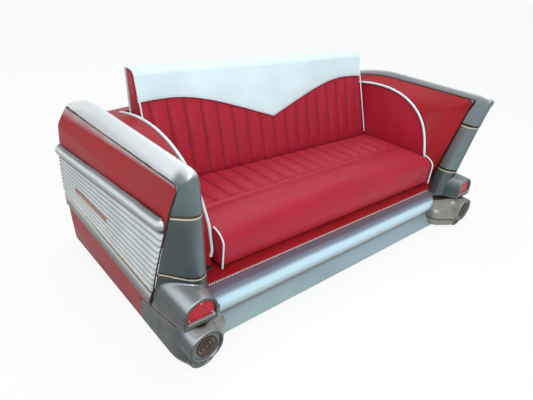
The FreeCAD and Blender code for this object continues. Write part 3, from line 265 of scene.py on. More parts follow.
def smooth_line(points, count):
    """Evenly spaced points on a smooth curve through a few given ones."""
    given = np.array(points, float)
    way = np.concatenate([[0.0], np.cumsum(np.linalg.norm(np.diff(given, axis=0), axis=1))])
    span, last = np.diff(way), len(way) - 1
    system, right = np.eye(last + 1), np.zeros_like(given)
    for i in range(1, last):
        system[i, i - 1:i + 2] = span[i - 1], 2 * (span[i - 1] + span[i]), span[i]
        right[i] = 6 * ((given[i + 1] - given[i]) / span[i] - (given[i] - given[i - 1]) / span[i - 1])
    bend = np.linalg.solve(system, right)
    places = np.linspace(0.0, way[-1], count)
    leg = np.clip(np.searchsorted(way, places, side="right") - 1, 0, last - 1)
    past, ahead, size = (places - way[leg])[:, None], (way[leg + 1] - places)[:, None], span[leg][:, None]
    return ((bend[leg] * ahead ** 3 + bend[leg + 1] * past ** 3) / (6 * size)
            + (given[leg] / size - bend[leg] * size / 6) * ahead
            + (given[leg + 1] / size - bend[leg + 1] * size / 6) * past)


def circle_through(first, second, third):
    """Centre x, centre z and radius of the circle through three points (x, z)."""
    (ax, az), (bx, bz), (cx, cz) = first, second, third
    turn = 2 * (ax * (bz - cz) + bx * (cz - az) + cx * (az - bz))
    a, b, c = ax * ax + az * az, bx * bx + bz * bz, cx * cx + cz * cz
    x = (a * (bz - cz) + b * (cz - az) + c * (az - bz)) / turn
    z = (a * (cx - bx) + b * (ax - cx) + c * (bx - ax)) / turn
    return x, z, math.hypot(ax - x, az - z)


def arm_x(z):
    """Inner face of the arm at a height."""
    return ARM_X + ARM_LEAN * np.maximum(0.0, np.asarray(z, float) - ARM_BEND_Z)


def back_front_y(z):
    """Front face of the backrest at a height."""
    return BACK_FRONT_Y + BACK_LEAN * np.maximum(0.0, np.asarray(z, float) - BACK_BEND_Z)


def yoke_z(x):
    """Lower edge of the white yoke."""
    edge = smooth_line(YOKE_EDGE, 200)
    return np.interp(np.abs(x), edge[:, 0], edge[:, 1])


def ease(value, low, high):
    """Smooth step from 0 at low to 1 at high."""
    share = np.clip((np.asarray(value, float) - low) / (high - low), 0.0, 1.0)
    return share * share * (3.0 - 2.0 * share)


class Nodes:
    """Adds and links nodes in one tree."""

    def __init__(self, tree):
        self.tree = tree

    def feed(self, socket, value):
        if isinstance(value, bpy.types.NodeSocket):
            self.tree.links.new(value, socket)
        else:
            socket.default_value = value

    def add(self, kind, feeds=None, out=0, **settings):
        node = self.tree.nodes.new(kind)
        for key, value in settings.items():
            setattr(node, key, value)
        for key, value in (feeds or {}).items():
            self.feed(node.inputs[key], value)
        return node.outputs[out]

    def math(self, operation, *values):
        return self.add("ShaderNodeMath", dict(enumerate(values)), operation=operation)

    def fold(self, operation, values):
        """One operation carried through several values."""
        result = values[0]
        for value in values[1:]:
            result = self.math(operation, result, value)
        return result

    def times(self, *values):
        return self.fold("MULTIPLY", values)

    def plus(self, *values):
        return self.fold("ADD", values)

    def most(self, *values):
        return self.fold("MAXIMUM", values)

    def minus(self, value, part):
        return self.math("SUBTRACT", value, part)

    def line(self, value, slope, start):
        """Value on a straight line."""
        return self.math("MULTIPLY_ADD", value, slope, start)

    def span(self, value, low, high, start=0.0, end=1.0):
        """Smooth change from start to end while a value goes from low to high."""
        feeds = {"Value": value, "From Min": low, "From Max": high, "To Min": start, "To Max": end}
        return self.add("ShaderNodeMapRange", feeds, interpolation_type="SMOOTHSTEP")


class Finish(Nodes):
    """A node material under construction."""

    def __init__(self, name):
        self.material = bpy.data.materials.new(name)
        self.material.use_nodes = True
        super().__init__(self.material.node_tree)
        self.shader = self.tree.nodes["Principled BSDF"].inputs
        self.place = self.add("ShaderNodeTexCoord", out="Object")

    def axes(self):
        node = self.add("ShaderNodeSeparateXYZ", {0: self.place}).node
        return node.outputs[0], node.outputs[1], node.outputs[2]

    def noise(self, scale, detail=3.0, stretch=None):
        place = self.place
        if stretch:
            place = self.add("ShaderNodeMapping", {"Vector": self.place, "Scale": stretch})
        return self.add("ShaderNodeTexNoise", {"Vector": place, "Scale": scale, "Detail": detail})

    def cloud(self, scale, detail, start=0.0, end=1.0, stretch=None):
        """Soft patches between two values."""
        return self.span(self.noise(scale, detail, stretch), 0.3, 0.7, start, end)

    def cells(self, scale):
        return self.add("ShaderNodeTexVoronoi", {"Vector": self.place, "Scale": scale}, feature="F1")

    def mark(self, name):
        return self.add("ShaderNodeAttribute", out="Fac", attribute_name=name)

    def facing(self, axis):
        """How far the surface looks along an axis, from -1 to 1."""
        normal = self.add("ShaderNodeNewGeometry", out="Normal")
        return self.add("ShaderNodeSeparateXYZ", {0: normal}, out=axis)

    def banded(self, value, bands, colour):
        """Colour that runs through bands as a value rises."""
        for start, full, tone in bands:
            colour = self.mix(self.span(value, start, full), colour, tone)
        return colour

    def behind_seam(self, y, z):
        """Distance behind the seam of the silver trailing edge."""
        seam = depth(SEAM_TOP_Y + FIN_OUT_Z * SEAM_LEAN)
        return self.line(z, SEAM_LEAN, self.minus(y, seam))

    def behind_inner_edge(self, y, z):
        """Distance behind the inner edge of the silver trailing edge."""
        edge = depth(INNER_TOP[1] + FIN_IN[1] * INNER_LEAN[1])
        return self.line(z, INNER_LEAN[1], self.minus(y, edge))

    def share_of(self, value, start, end):
        """Place between two millimetre marks along the body, 0 before the first."""
        way = self.minus(value, depth(start))
        return self.math("MAXIMUM", self.math("DIVIDE", way, (end - start) / 1000.0), 0.0)

    def fin_edge(self, y):
        """Height of the fin's outer edge."""
        back = self.share_of(y, INNER_TOP[1], BODY_DEPTH)
        return self.line(back, -OUT_FALL_Z / 1000.0, FIN_OUT_Z / 1000.0)

    def outline(self, corner, *ways):
        """Distance inside an outline with a round corner, from the distances to its two sides."""
        sides = [self.math("POWER", self.math("MAXIMUM", self.minus(corner, way), 0.0), 2.0)
                 for way in ways]
        return self.minus(corner, self.math("SQRT", self.plus(*sides)))

    def mix(self, share, first, second):
        return self.add("ShaderNodeMix", {0: share, 6: first, 7: second}, out=2, data_type="RGBA")

    def tones(self, share, colour, first, second):
        """From one shade of a colour to another."""
        return self.mix(share, shade(colour, first), shade(colour, second))

    def bump(self, height, strength, distance=0.001):
        normal = self.add("ShaderNodeBump", {"Height": height, "Strength": strength, "Distance": distance})
        self.feed(self.shader["Normal"], normal)

    def set(self, **values):
        for key, value in values.items():
            self.feed(self.shader[key.replace("_", " ")], value)
        return self.material


def shade(colour, share):
    """The same colour, lighter or darker."""
    return tuple(min(1.0, part * share) for part in colour[:3]) + (1.0,)


def sprayed_red(f, paint):
    """Clouded red of the hand-sprayed panels, with their dust and their gloss."""
    cloud = f.cloud(4.0, 5.0)
    colour = f.tones(cloud, paint.red, 0.90, 1.10)
    dust = f.span(f.noise(55.0, 6.0), 0.62, 0.8, 0.0, 0.2)
    f.bump(f.noise(260.0, 2.0), 0.04)
    f.set(Roughness=f.span(cloud, 0.0, 1.0, 0.40, 0.50), Specular_IOR_Level=0.14, Coat_Weight=0.02,
          Coat_Roughness=0.2)
    return f.mix(dust, colour, shade(paint.red, 0.6))


def red_body_paint(paint):
    """Plain hand-sprayed red."""
    f = Finish("red body paint")
    return f.set(Base_Color=sprayed_red(f, paint))


def rounded_red(f, paint, inside, colour):
    """Brown outline of a red panel, and silver outside its rounded corner."""
    line = f.span(f.plus(inside, f.times(f.noise(120.0, 2.0), 0.0015)), 0.0062, 0.0038)
    colour = f.mix(line, colour, tuple(paint.brown))
    return f.mix(f.span(inside, 0.0012, -0.0006), colour, shade(paint.silver_shaded, 1.5))


def red_side_paint(paint):
    """Side panel: red with a rounded outline, a silver fade under the fin strip and painted shade towards the
    floor.
    """
    f = Finish("red side paint")
    y, z = f.axes()[1:]
    behind = f.times(f.behind_seam(y, z), math.cos(math.atan(SEAM_LEAN)))
    under = f.minus(f.fin_edge(y), z)
    # Painted shade: the red darkens towards the floor.
    colour = f.mix(f.span(z, *SIDE_SHADE_Z, 0.0, 0.5), sprayed_red(f, paint), shade(paint.red, 0.55))
    width = f.line(f.share_of(y, INNER_TOP[1], BODY_DEPTH), 0.028, 0.014)
    spray = f.times(f.span(f.math("DIVIDE", under, width), 1.0, 0.1),
                   f.span(f.noise(7.0, 3.0), 0.25, 0.75, 0.5, 0.9))
    colour = f.mix(spray, colour, shade(paint.silver, 0.9))
    return f.set(Base_Color=rounded_red(f, paint, f.outline(paint.corner, behind, under), colour))


def red_fin_paint(paint):
    """Inner face of a fin: red with a rounded outline along the silver."""
    f = Finish("red fin paint")
    y, z = f.axes()[1:]
    fall = f.math("POWER", f.share_of(y, FALL_START, BODY_DEPTH), FALL_POWER)
    under = f.minus(f.line(fall, -IN_FALL[1] / 1000.0, FIN_IN[1] / 1000.0), z)
    inside = f.outline(paint.corner, f.behind_inner_edge(y, z), under)
    return f.set(Base_Color=rounded_red(f, paint, inside, sprayed_red(f, paint)))


def silver_light_and_shade(f, paint, z, up, inward):
    """Silver with painted light and shade by the way the surface faces: painted shade on the outer flanks and
    low down, painted light inside, on top and towards the tips, and a painted highlight on hoods and noses.
    """
    deep, silver = paint.silver_shaded, paint.silver
    cloud = f.span(f.noise(6.0, 5.0, (1.0, 1.0, 0.55)), 0.32, 0.68)
    side = f.tones(cloud, deep, 0.85, 1.2)
    # Painted shade on faces that look outward, painted light on faces that look inward.
    side = f.banded(inward, ((-0.85, 0.05, side), (0.0, 0.6, shade(deep, 1.35))), shade(deep, 0.46))
    # Painted light towards the fin tips.
    side = f.mix(f.span(z, *TIP_LIGHT_Z, 0.0, 0.5), side, shade(deep, 1.5))
    low = f.span(z, *LOW_FADE_Z)
    # Painted shade on the low flanks of the lamp housings and bumper ends.
    side = f.mix(f.times(low, 0.5), side, shade(deep, 0.22))
    # Painted light on faces that slope up and on faces that look up, less of it low down.
    sloping_light = f.times(f.span(up, -0.1, 0.55), f.span(low, 0.0, 1.0, 0.36, 0.18))
    colour = f.mix(sloping_light, side, shade(silver, 0.9))
    colour = f.mix(f.span(up, 0.45, 0.9), colour, f.tones(low, silver, 1.35, 0.50))
    # A painted highlight along the crowns of the hoods and noses, on their outer side.
    highlight_ridge = f.times(f.span(up, 0.42, 0.70), f.span(up, 0.98, 0.76))
    return f.mix(f.times(highlight_ridge, low, f.span(inward, 0.15, -0.2, 0.0, 0.85)), colour, PAINTED_GLINT)


def tail_lines(f, y, z, wide, ahead, above):
    """Shares of the brown wash, the pale lines and the dark lines along the seams of the tail."""
    wander = f.line(f.noise(60.0, 4.0), 0.003, -0.0015)
    levels = [f.minus(z, height / 1000.0) for height in (TIP_SEAM_Z, LAMP_SEAM_Z)]
    tail = f.span(y, depth(HOOD_REAR_Y), depth(HOOD_REAR_Y - 10.0))

    def close_to(way, reach):
        return f.span(f.plus(f.math("ABSOLUTE", way), wander), reach, reach * 0.55)

    def beside(middle, reach):
        return f.most(*[f.times(close_to(f.minus(level, middle), reach), tail) for level in levels])

    seam_z = BUMPER_SEAM_Z / 1000.0 + BUMPER_SEAM_FALL * depth(HOOD_FRONT_Y)
    over = f.minus(z, f.line(y, -BUMPER_SEAM_FALL, seam_z))
    outer = f.times(f.span(ahead, -0.004, -0.002), f.span(wide, *OUTER_FADE_X), f.span(over, 0.0, 0.002),
                    f.span(above, 0.001, -0.002))
    inner = f.times(f.behind_inner_edge(y, z), -1.0)
    inner_x = (INNER_TOP[0] - INNER_LEAN[0] * FIN_IN[1]) / 1000.0
    near = f.minus(wide, f.line(z, INNER_LEAN[0], inner_x))
    edge = f.times(f.span(inner, -0.01, -0.008), f.span(near, 0.016, 0.010), f.span(z, *STRIP_FADE_Z))
    halo = f.times(close_to(over, 0.022), f.cloud(14.0, 3.0, 0.35, 0.8))
    rim = f.times(close_to(f.minus(y, depth(BUMPER_REAR_Y)), 0.020), f.span(over, 0.004, 0.0))
    crease = f.times(close_to(f.minus(z, LIP_Z / 1000.0), 0.0058), f.span(y, *CREASE_FADE_Y, 0.0, 0.8))
    dark = f.most(beside(0.0028, 0.0066), close_to(over, 0.0085), f.times(close_to(ahead, 0.0048), outer),
                  f.times(close_to(inner, 0.006), edge), rim, crease)
    return halo, beside(-0.0062, 0.0036), dark


def silver_paint(paint):
    """Silver of the fins and the tail ends with painted light and shade, pale fin strips with painted light
    on top and painted shade on their inner flank, and lines along the seams.
    """
    f = Finish("silver paint")
    x, y, z = f.axes()
    up = f.facing(2)
    inward = f.times(f.facing(0), f.math("SIGN", x), -1.0)
    colour = silver_light_and_shade(f, paint, z, up, inward)
    ahead = f.times(f.behind_seam(y, z), -1.0)
    above = f.minus(z, f.fin_edge(y))
    strip = f.times(f.span(above, 0.0005, 0.007), f.span(ahead, -0.012, -0.05))
    # On the fin strips, painted light where they face up and painted shade on their inner flank.
    flank = f.tones(f.span(up, 0.05, 0.5), paint.silver, 0.95, 1.4)
    flank = f.mix(f.span(inward, 0.2, 0.7), flank, shade(paint.silver, 0.5))
    colour = f.mix(strip, colour, flank)
    warm = f.times(f.span(inward, 0.0, 0.6, 0.0, 0.55), f.span(z, *WARM_FADE_Z))
    colour = f.mix(warm, colour, WARM_SILVER)
    halo, pale, dark = tail_lines(f, y, z, f.math("ABSOLUTE", x), ahead, above)
    colour = f.mix(f.times(halo, 0.35), colour, shade(paint.tan, 0.75))
    # The pale line beside each seam is tan, partly a painted highlight on the seam's edge.
    colour = f.mix(pale, colour, PALE_SEAM)
    colour = f.mix(dark, colour, tuple(paint.brown))
    f.bump(f.noise(420.0, 2.0), 0.03)
    return f.set(Base_Color=colour, Metallic=f.span(f.most(halo, dark, pale), 0.1, 0.5, 0.45, 0.0),
                 Roughness=f.cloud(24.0, 4.0, 0.30, 0.40), Specular_IOR_Level=0.35)


def satin_silver(paint):
    """Bar and valance: painted light and shade on the bar, with a painted highlight band, painted shade below
    it and a painted reflection of the deck's red above it, and a brown seam under the bar.
    """
    f = Finish("satin silver paint")
    z = f.axes()[2]
    cloud = f.cloud(3.0, 4.0, stretch=(0.5, 1.0, 1.0))
    wave = f.line(f.noise(2.2, 3.0, (1.0, 0.2, 0.2)), 0.016, -0.008)
    # The bar's bands are painted light and shade; the valance below them keeps its plain tones.
    colour = f.banded(f.plus(z, wave), BAR_LIGHT_BANDS, f.mix(cloud, *VALANCE_TONES))
    seam = f.math("ABSOLUTE", f.minus(z, BAR_FOOT_Z / 1000.0))
    rust = f.times(f.span(seam, 0.014, 0.005), f.cloud(16.0, 3.0, 0.2, 0.8))
    colour = f.mix(rust, colour, tuple(paint.tan))
    colour = f.mix(f.span(seam, 0.0065, 0.003), colour, tuple(paint.brown))
    f.bump(f.noise(520.0, 2.0), 0.02)
    return f.set(Base_Color=colour, Metallic=0.25, Roughness=f.cloud(18.0, 4.0, 0.28, 0.36))


def moulding_silver(name, line, tone):
    """Silver of a side moulding with painted light and shade across it: a dark brown foot, painted shade
    above it, a painted highlight band, a grey top and a dark brown top edge.
    """
    f = Finish(name)
    y, z = f.axes()[1:]
    front, rear, high = line
    back = f.share_of(y, 0.0, BODY_DEPTH)
    rise = f.minus(z, f.line(back, (rear - front) / 1000.0, front / 1000.0))
    share = f.math("DIVIDE", rise, high / 1000.0)
    cloud = f.cloud(9.0, 4.0, stretch=(1.0, 0.4, 1.0))
    bands = [(start, full, shade(colour, tone)) for start, full, colour in MOULDING_LIGHT_BANDS]
    # Painted light and shade across the moulding by height.
    colour = f.banded(f.plus(share, f.line(cloud, 0.08, -0.04)), bands, MOULDING_FOOT)
    f.bump(f.noise(420.0, 2.0), 0.03)
    return f.set(Base_Color=colour, Metallic=0.3, Roughness=f.span(cloud, 0.0, 1.0, 0.30, 0.40))


def dotted_trim(paint):
    """Bright beading, with the red between its beads darkened as painted shade."""
    f = Finish("bright trim")
    x = f.axes()[0]
    bead = f.span(f.math("SINE", f.times(x, 2.0 * math.pi / BEAD_PITCH)), -0.4, 0.3)
    f.bump(bead, 0.5)
    # The red between the beads is darkened to half, painted shade.
    return f.set(Base_Color=f.mix(bead, shade(paint.red, 0.5), BEAD_TONE), Metallic=0.2,
                 Roughness=f.span(bead, 0.0, 1.0, 0.55, 0.32))


def rib_paint(paint):
    """Blue-grey paint with painted shade down in the grooves."""
    f = Finish("rib paint")
    cloud = f.cloud(5.0, 5.0)
    colour = f.tones(cloud, paint.rib, 0.88, 1.15)
    # Painted shade down in the grooves between the ribs.
    colour = f.mix(f.times(f.mark("groove_shade"), 0.85), colour, shade(paint.rib, 0.24))
    f.bump(f.noise(380.0, 2.0), 0.04)
    return f.set(Base_Color=colour, Metallic=0.15, Roughness=f.span(cloud, 0.0, 1.0, 0.34, 0.46))


def line_paint(name, colour):
    """Brushed paint of a narrow line or a small piece."""
    f = Finish(name)
    worn = f.span(f.noise(70.0, 5.0), 0.3, 0.75)
    f.bump(f.noise(420.0, 2.0), 0.08)
    return f.set(Base_Color=f.tones(worn, colour, 1.12, 0.72), Metallic=0.1,
                 Roughness=f.span(worn, 0.0, 1.0, 0.34, 0.5))


def lens_paint(paint):
    """Flat red plate with a slight gloss."""
    f = Finish("lamp lens")
    cloud = f.cloud(22.0, 4.0)
    colour = f.tones(cloud, paint.lens, 0.8, 1.2)
    f.bump(f.noise(150.0, 2.0), 0.04)
    return f.set(Base_Color=colour, Roughness=f.span(cloud, 0.0, 1.0, 0.30, 0.42), Specular_IOR_Level=0.25,
                 Coat_Weight=0.08, Coat_Roughness=0.1)


def port_paint(name, paint, centre):
    """Ringed brown of the bumper ports with a silver rim, by the distance from the middle of the port."""
    f = Finish(name)
    x, z = f.axes()[::2]
    across = f.minus(f.math("ABSOLUTE", x), centre[0] / 1000.0)
    rise = f.minus(z, centre[1] / 1000.0)
    radius = f.math("SQRT", f.plus(f.math("POWER", across, 2.0), f.math("POWER", rise, 2.0)))
    ring = f.math("SINE", f.times(radius, 2.0 * math.pi / RING_PITCH))
    colour = f.mix(f.span(ring, -0.4, 0.7), tuple(paint.brown), RING_TONE)
    rim = f.span(radius, PORT_RIM / 1000.0 - 0.003, PORT_RIM / 1000.0)
    colour = f.mix(rim, colour, shade(paint.silver_shaded, 1.2))
    colour = f.mix(f.span(f.noise(60.0, 4.0), 0.45, 0.8, 0.0, 0.7), colour, shade(paint.brown, 1.6))
    f.bump(f.noise(300.0, 3.0), 0.1)
    return f.set(Base_Color=colour, Roughness=f.cloud(40.0, 3.0, 0.42, 0.62))


def screw_steel():
    """Bright steel with a brushed face."""
    f = Finish("screw steel")
    brush = f.noise(500.0, 3.0, (1.0, 0.2, 4.0))
    f.bump(brush, 0.12)
    return f.set(Base_Color=f.mix(brush, *STEEL_TONES), Metallic=0.9,
                 Roughness=f.span(brush, 0.3, 0.7, 0.22, 0.38))


def vinyl(name, colour, crease_shade_share, sheen):
    """Upholstery vinyl with a fine leather grain and painted shade in the sewn channels."""
    f = Finish(name)
    cloud = f.span(f.noise(5.5, 5.0), 0.28, 0.72)
    tone = f.tones(cloud, colour, 0.95, 1.05)
    # Painted shade in the sewn channels and seams, where the crease mark is high.
    tone = f.mix(f.times(f.mark("crease"), crease_shade_share), tone, shade(colour, 0.25))
    grain = f.plus(f.times(f.cells(620.0), 0.6), f.times(f.noise(190.0, 3.0), 0.7))
    f.bump(grain, 0.16)
    return f.set(Base_Color=tone, Roughness=f.span(cloud, 0.0, 1.0, 0.40, 0.50), Specular_IOR_Level=0.26,
                 Sheen_Weight=sheen)


def timber(name, colour):
    """Planed softwood or plywood with its grain across the sofa."""
    f = Finish(name)
    grain = f.noise(5.0, 8.0, (1.0, 9.0, 9.0))
    ring = f.math("SINE", f.times(grain, 46.0))
    tone = f.tones(f.span(ring, -1.0, 1.0), colour, 0.72, 1.15)
    f.bump(ring, 0.1)
    return f.set(Base_Color=tone, Roughness=f.span(ring, -1.0, 1.0, 0.55, 0.72))


def painted_board(paint):
    """Rolled red paint on board, with a little grain showing through."""
    f = Finish("painted board")
    grain = f.noise(14.0, 7.0, (0.25, 1.0, 3.0))
    tone = f.tones(f.span(grain, 0.3, 0.7), paint.red, 0.7, 0.95)
    f.bump(f.plus(grain, f.times(f.noise(210.0, 2.0), 0.5)), 0.12)
    return f.set(Base_Color=tone, Roughness=f.span(grain, 0.3, 0.7, 0.38, 0.5))


def glide_plastic():
    """Dark moulded plastic, scuffed at the foot."""
    f = Finish("glide plastic")
    z = f.axes()[2]
    scuff = f.times(f.span(z, 0.004, 0.0), f.noise(160.0, 4.0))
    f.bump(f.noise(600.0, 2.0), 0.1)
    return f.set(Base_Color=f.mix(scuff, *PLASTIC_TONES), Roughness=0.55)


def finish(name):
    """The named material, made when it is first asked for."""
    if name in bpy.data.materials:
        return bpy.data.materials[name]
    paint, cover = bpy.context.scene.sofa_paint, bpy.context.scene.sofa_cover
    makers = {
        "red body paint": lambda: red_body_paint(paint),
        "red side paint": lambda: red_side_paint(paint),
        "silver paint": lambda: silver_paint(paint),
        "satin silver paint": lambda: satin_silver(paint),
        "upper moulding": lambda: moulding_silver(name, UPPER_MOULD, UPPER_TONE),
        "lower moulding": lambda: moulding_silver(name, LOWER_MOULD, LOWER_TONE),
        "red fin paint": lambda: red_fin_paint(paint),
        "rib paint": lambda: rib_paint(paint),
        "cream line": lambda: line_paint(name, paint.cream),
        "copper bar": lambda: line_paint(name, paint.copper),
        "bright trim": lambda: dotted_trim(paint),
        "lamp lens": lambda: lens_paint(paint),
        "port rings": lambda: port_paint(name, paint, PORT),
        "lower port": lambda: port_paint(name, paint, LOWER_PORT),
        "screw steel": screw_steel,
        "red vinyl": lambda: vinyl(name, cover.red, 0.5, 0.04),
        "white vinyl": lambda: vinyl(name, cover.white, 0.4, 0.0),
        "timber": lambda: timber(name, SOFTWOOD),
        "plywood": lambda: timber(name, PLYWOOD),
        "painted board": lambda: painted_board(paint),
        "glide plastic": glide_plastic,
    }
    return makers[name]()


def coat(node, name):
    """Puts a material on a solid that stays as it is."""
    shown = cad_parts[node]
    if not shown.material_slots:
        raise RuntimeError("no material slot on " + node)
    for slot in shown.material_slots:
        slot.material = finish(name)


def coat_pair(stem, name):
    for side in ("_right", "_left"):
        coat(stem + side, name)


def corners(mesh):
    """Vertices of a mesh as an array."""
    flat = np.empty(len(mesh.vertices) * 3)
    mesh.vertices.foreach_get("co", flat)
    return flat.reshape(-1, 3)


def move_corners(mesh, places):
    mesh.vertices.foreach_set("co", np.ascontiguousarray(places, float).ravel())
    mesh.update()


def outward(mesh):
    """Vertex normals of a mesh as an array."""
    flat = np.empty(len(mesh.vertices) * 3)
    mesh.vertex_normals.foreach_get("vector", flat)
    return flat.reshape(-1, 3)


def mark(mesh, name, values):
    """Stores one number for each vertex, for the materials to read."""
    layer = mesh.attributes.get(name) or mesh.attributes.new(name, "FLOAT", "POINT")
    layer.data.foreach_set("value", np.ascontiguousarray(values, float))


def weigh(shown, name, shares):
    """Vertex group with a share for each vertex."""
    group = shown.vertex_groups.new(name=name)
    for index in np.nonzero(shares > 0.01)[0]:
        group.add([int(index)], float(shares[index]), "REPLACE")


def placed(name, data):
    """New object in the scene."""
    shown = bpy.data.objects.new(name, data)
    bpy.context.scene.collection.objects.link(shown)
    return shown


def drawn(name, points, edges, faces):
    """Mesh object from points in metres, edges and faces."""
    mesh = bpy.data.meshes.new(name)
    mesh.from_pydata([tuple(point) for point in points], edges, faces)
    mesh.update()
    return placed(name, mesh)


def sheet_from(name, points, columns, material):
    """Smooth sheet from points in metres that are stored row by row."""
    rows = len(points) // columns
    faces = [(r * columns + c, r * columns + c + 1, (r + 1) * columns + c + 1, (r + 1) * columns + c)
             for r in range(rows - 1) for c in range(columns - 1)]
    shown = drawn(name, points, [], faces)
    shown.data.materials.append(finish(material))
    shown.data.shade_smooth()
    return shown


def from_shape(name, shape):
    """Object from a finished bmesh, which is freed."""
    mesh = bpy.data.meshes.new(name)
    shape.to_mesh(mesh)
    shape.free()
    return placed(name, mesh)


def applied(shown):
    """Turns an object's modifiers into its own plain mesh."""
    depsgraph = bpy.context.evaluated_depsgraph_get()
    old = shown.data
    new = bpy.data.meshes.new_from_object(shown.evaluated_get(depsgraph), depsgraph=depsgraph)
    shown.modifiers.clear()
    shown.data = new
    new.name = shown.name
    bpy.data.meshes.remove(old)
    return shown


def thicken(shown, thick):
    """Gives a sheet its thickness, to the inside."""
    wall = shown.modifiers.new("wall", "SOLIDIFY")
    wall.thickness = thick
    wall.offset = -1.0
    wall.use_even_offset = True
    return applied(shown)


def mirrored(shown, name):
    """Left-hand copy of a right-hand piece."""
    mesh = shown.data.copy()
    mesh.name = name
    mesh.transform(Matrix.Scale(-1.0, 4, Vector((1.0, 0.0, 0.0))))
    mesh.flip_normals()
    return placed(name, mesh)


def settle(shown, body, slot, *nodes):
    """Hands a finished piece to the frame."""
    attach(shown, body)
    if nodes:
        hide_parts(*nodes)


def settle_pair(right, stem, slot, *nodes):
    """Hands a right-hand piece and its left-hand twin to the frame."""
    left = mirrored(right, stem + "_left")
    for shown, side in ((right, "_right"), (left, "_left")):
        settle(shown, SHELL, slot, *[node + side for node in nodes])
    return right, left


def merged_copy(name, nodes, pull=0.0):
    """Copy of some solids with their loose triangles joined; the first can be pulled forward to the next."""
    shape = bmesh.new()
    for node in nodes:
        shape.from_mesh(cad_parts[node].data)
        if node == nodes[0]:
            bmesh.ops.translate(shape, verts=shape.verts, vec=(0.0, -pull, 0.0))
    bmesh.ops.remove_doubles(shape, verts=shape.verts, dist=1e-5)
    return from_shape(name, shape)


def soften(shown, rounds, group=""):
    """Eases the edges of a mesh, everywhere or in one vertex group."""
    soft = shown.modifiers.new("soft", "SMOOTH")
    soft.factor = 0.5
    soft.iterations = rounds
    soft.vertex_group = group
    return applied(shown)


def remesh(shown, voxel, rounds):
    """Even quads over the whole shape, with the edges eased."""
    even = shown.modifiers.new("even", "REMESH")
    even.mode = "VOXEL"
    even.voxel_size = voxel
    return soften(applied(shown), rounds)


def sculpted_pair(stem, names, voxel, rounds, material="silver paint", pull=0.0, grow=0.0, smooth_where=None):
    """A moulded piece, its solids as one rounded form, and its left-hand twin."""
    right = merged_copy(stem + "_shape_right", [name + "_right" for name in names], pull)
    remesh(right, voxel, rounds)
    if smooth_where:
        weigh(right, "smooth", smooth_where(in_mm(corners(right.data))))
        soften(right, SMOOTH_ROUNDS, "smooth")
        right.vertex_groups.clear()
    move_corners(right.data, corners(right.data) + grow * outward(right.data))
    right.data.materials.clear()
    right.data.materials.append(finish(material))
    right.data.shade_smooth()
    settle_pair(right, stem + "_shape", "silver_paint", *names)


class Tree(Nodes):
    """A geometry node tree under construction."""

    def __init__(self, name, inputs):
        super().__init__(bpy.data.node_groups.new(name, "GeometryNodeTree"))
        face = self.tree.interface
        face.new_socket("Geometry", in_out="INPUT", socket_type="NodeSocketGeometry")
        self.sockets = {}
        for label, kind in inputs:
            socket = face.new_socket(label, in_out="INPUT", socket_type="NodeSocket" + kind)
            self.sockets[label] = socket.identifier
        face.new_socket("Geometry", in_out="OUTPUT", socket_type="NodeSocketGeometry")
        self.given = self.tree.nodes.new("NodeGroupInput").outputs
        self.result = self.tree.nodes.new("NodeGroupOutput").inputs[0]

    def close(self, geometry):
        """Smooth shading, realized instances and the material, as the last steps."""
        geometry = self.add("GeometryNodeSetShadeSmooth", {"Geometry": geometry})
        geometry = self.add("GeometryNodeRealizeInstances", {"Geometry": geometry})
        painted = {"Geometry": geometry, "Material": self.given["Material"]}
        self.feed(self.result, self.add("GeometryNodeSetMaterial", painted))
        return self

    def run(self, shown, **values):
        """Makes the tree's result the object's own mesh."""
        modifier = shown.modifiers.new("tree", "NODES")
        modifier.node_group = self.tree
        for label, value in values.items():
            modifier[self.sockets[label]] = value
        return applied(shown)


def cord_tree():
    """Round cord along a path."""
    t = Tree("cord sweep", [("Radius", "Float"), ("Material", "Material")])
    path = t.add("GeometryNodeMeshToCurve", {"Mesh": t.given["Geometry"]})
    ring = t.add("GeometryNodeCurvePrimitiveCircle", {"Resolution": 12, "Radius": t.given["Radius"]})
    sweep = {"Curve": path, "Profile Curve": ring, "Fill Caps": True}
    return t.close(t.add("GeometryNodeCurveToMesh", sweep))


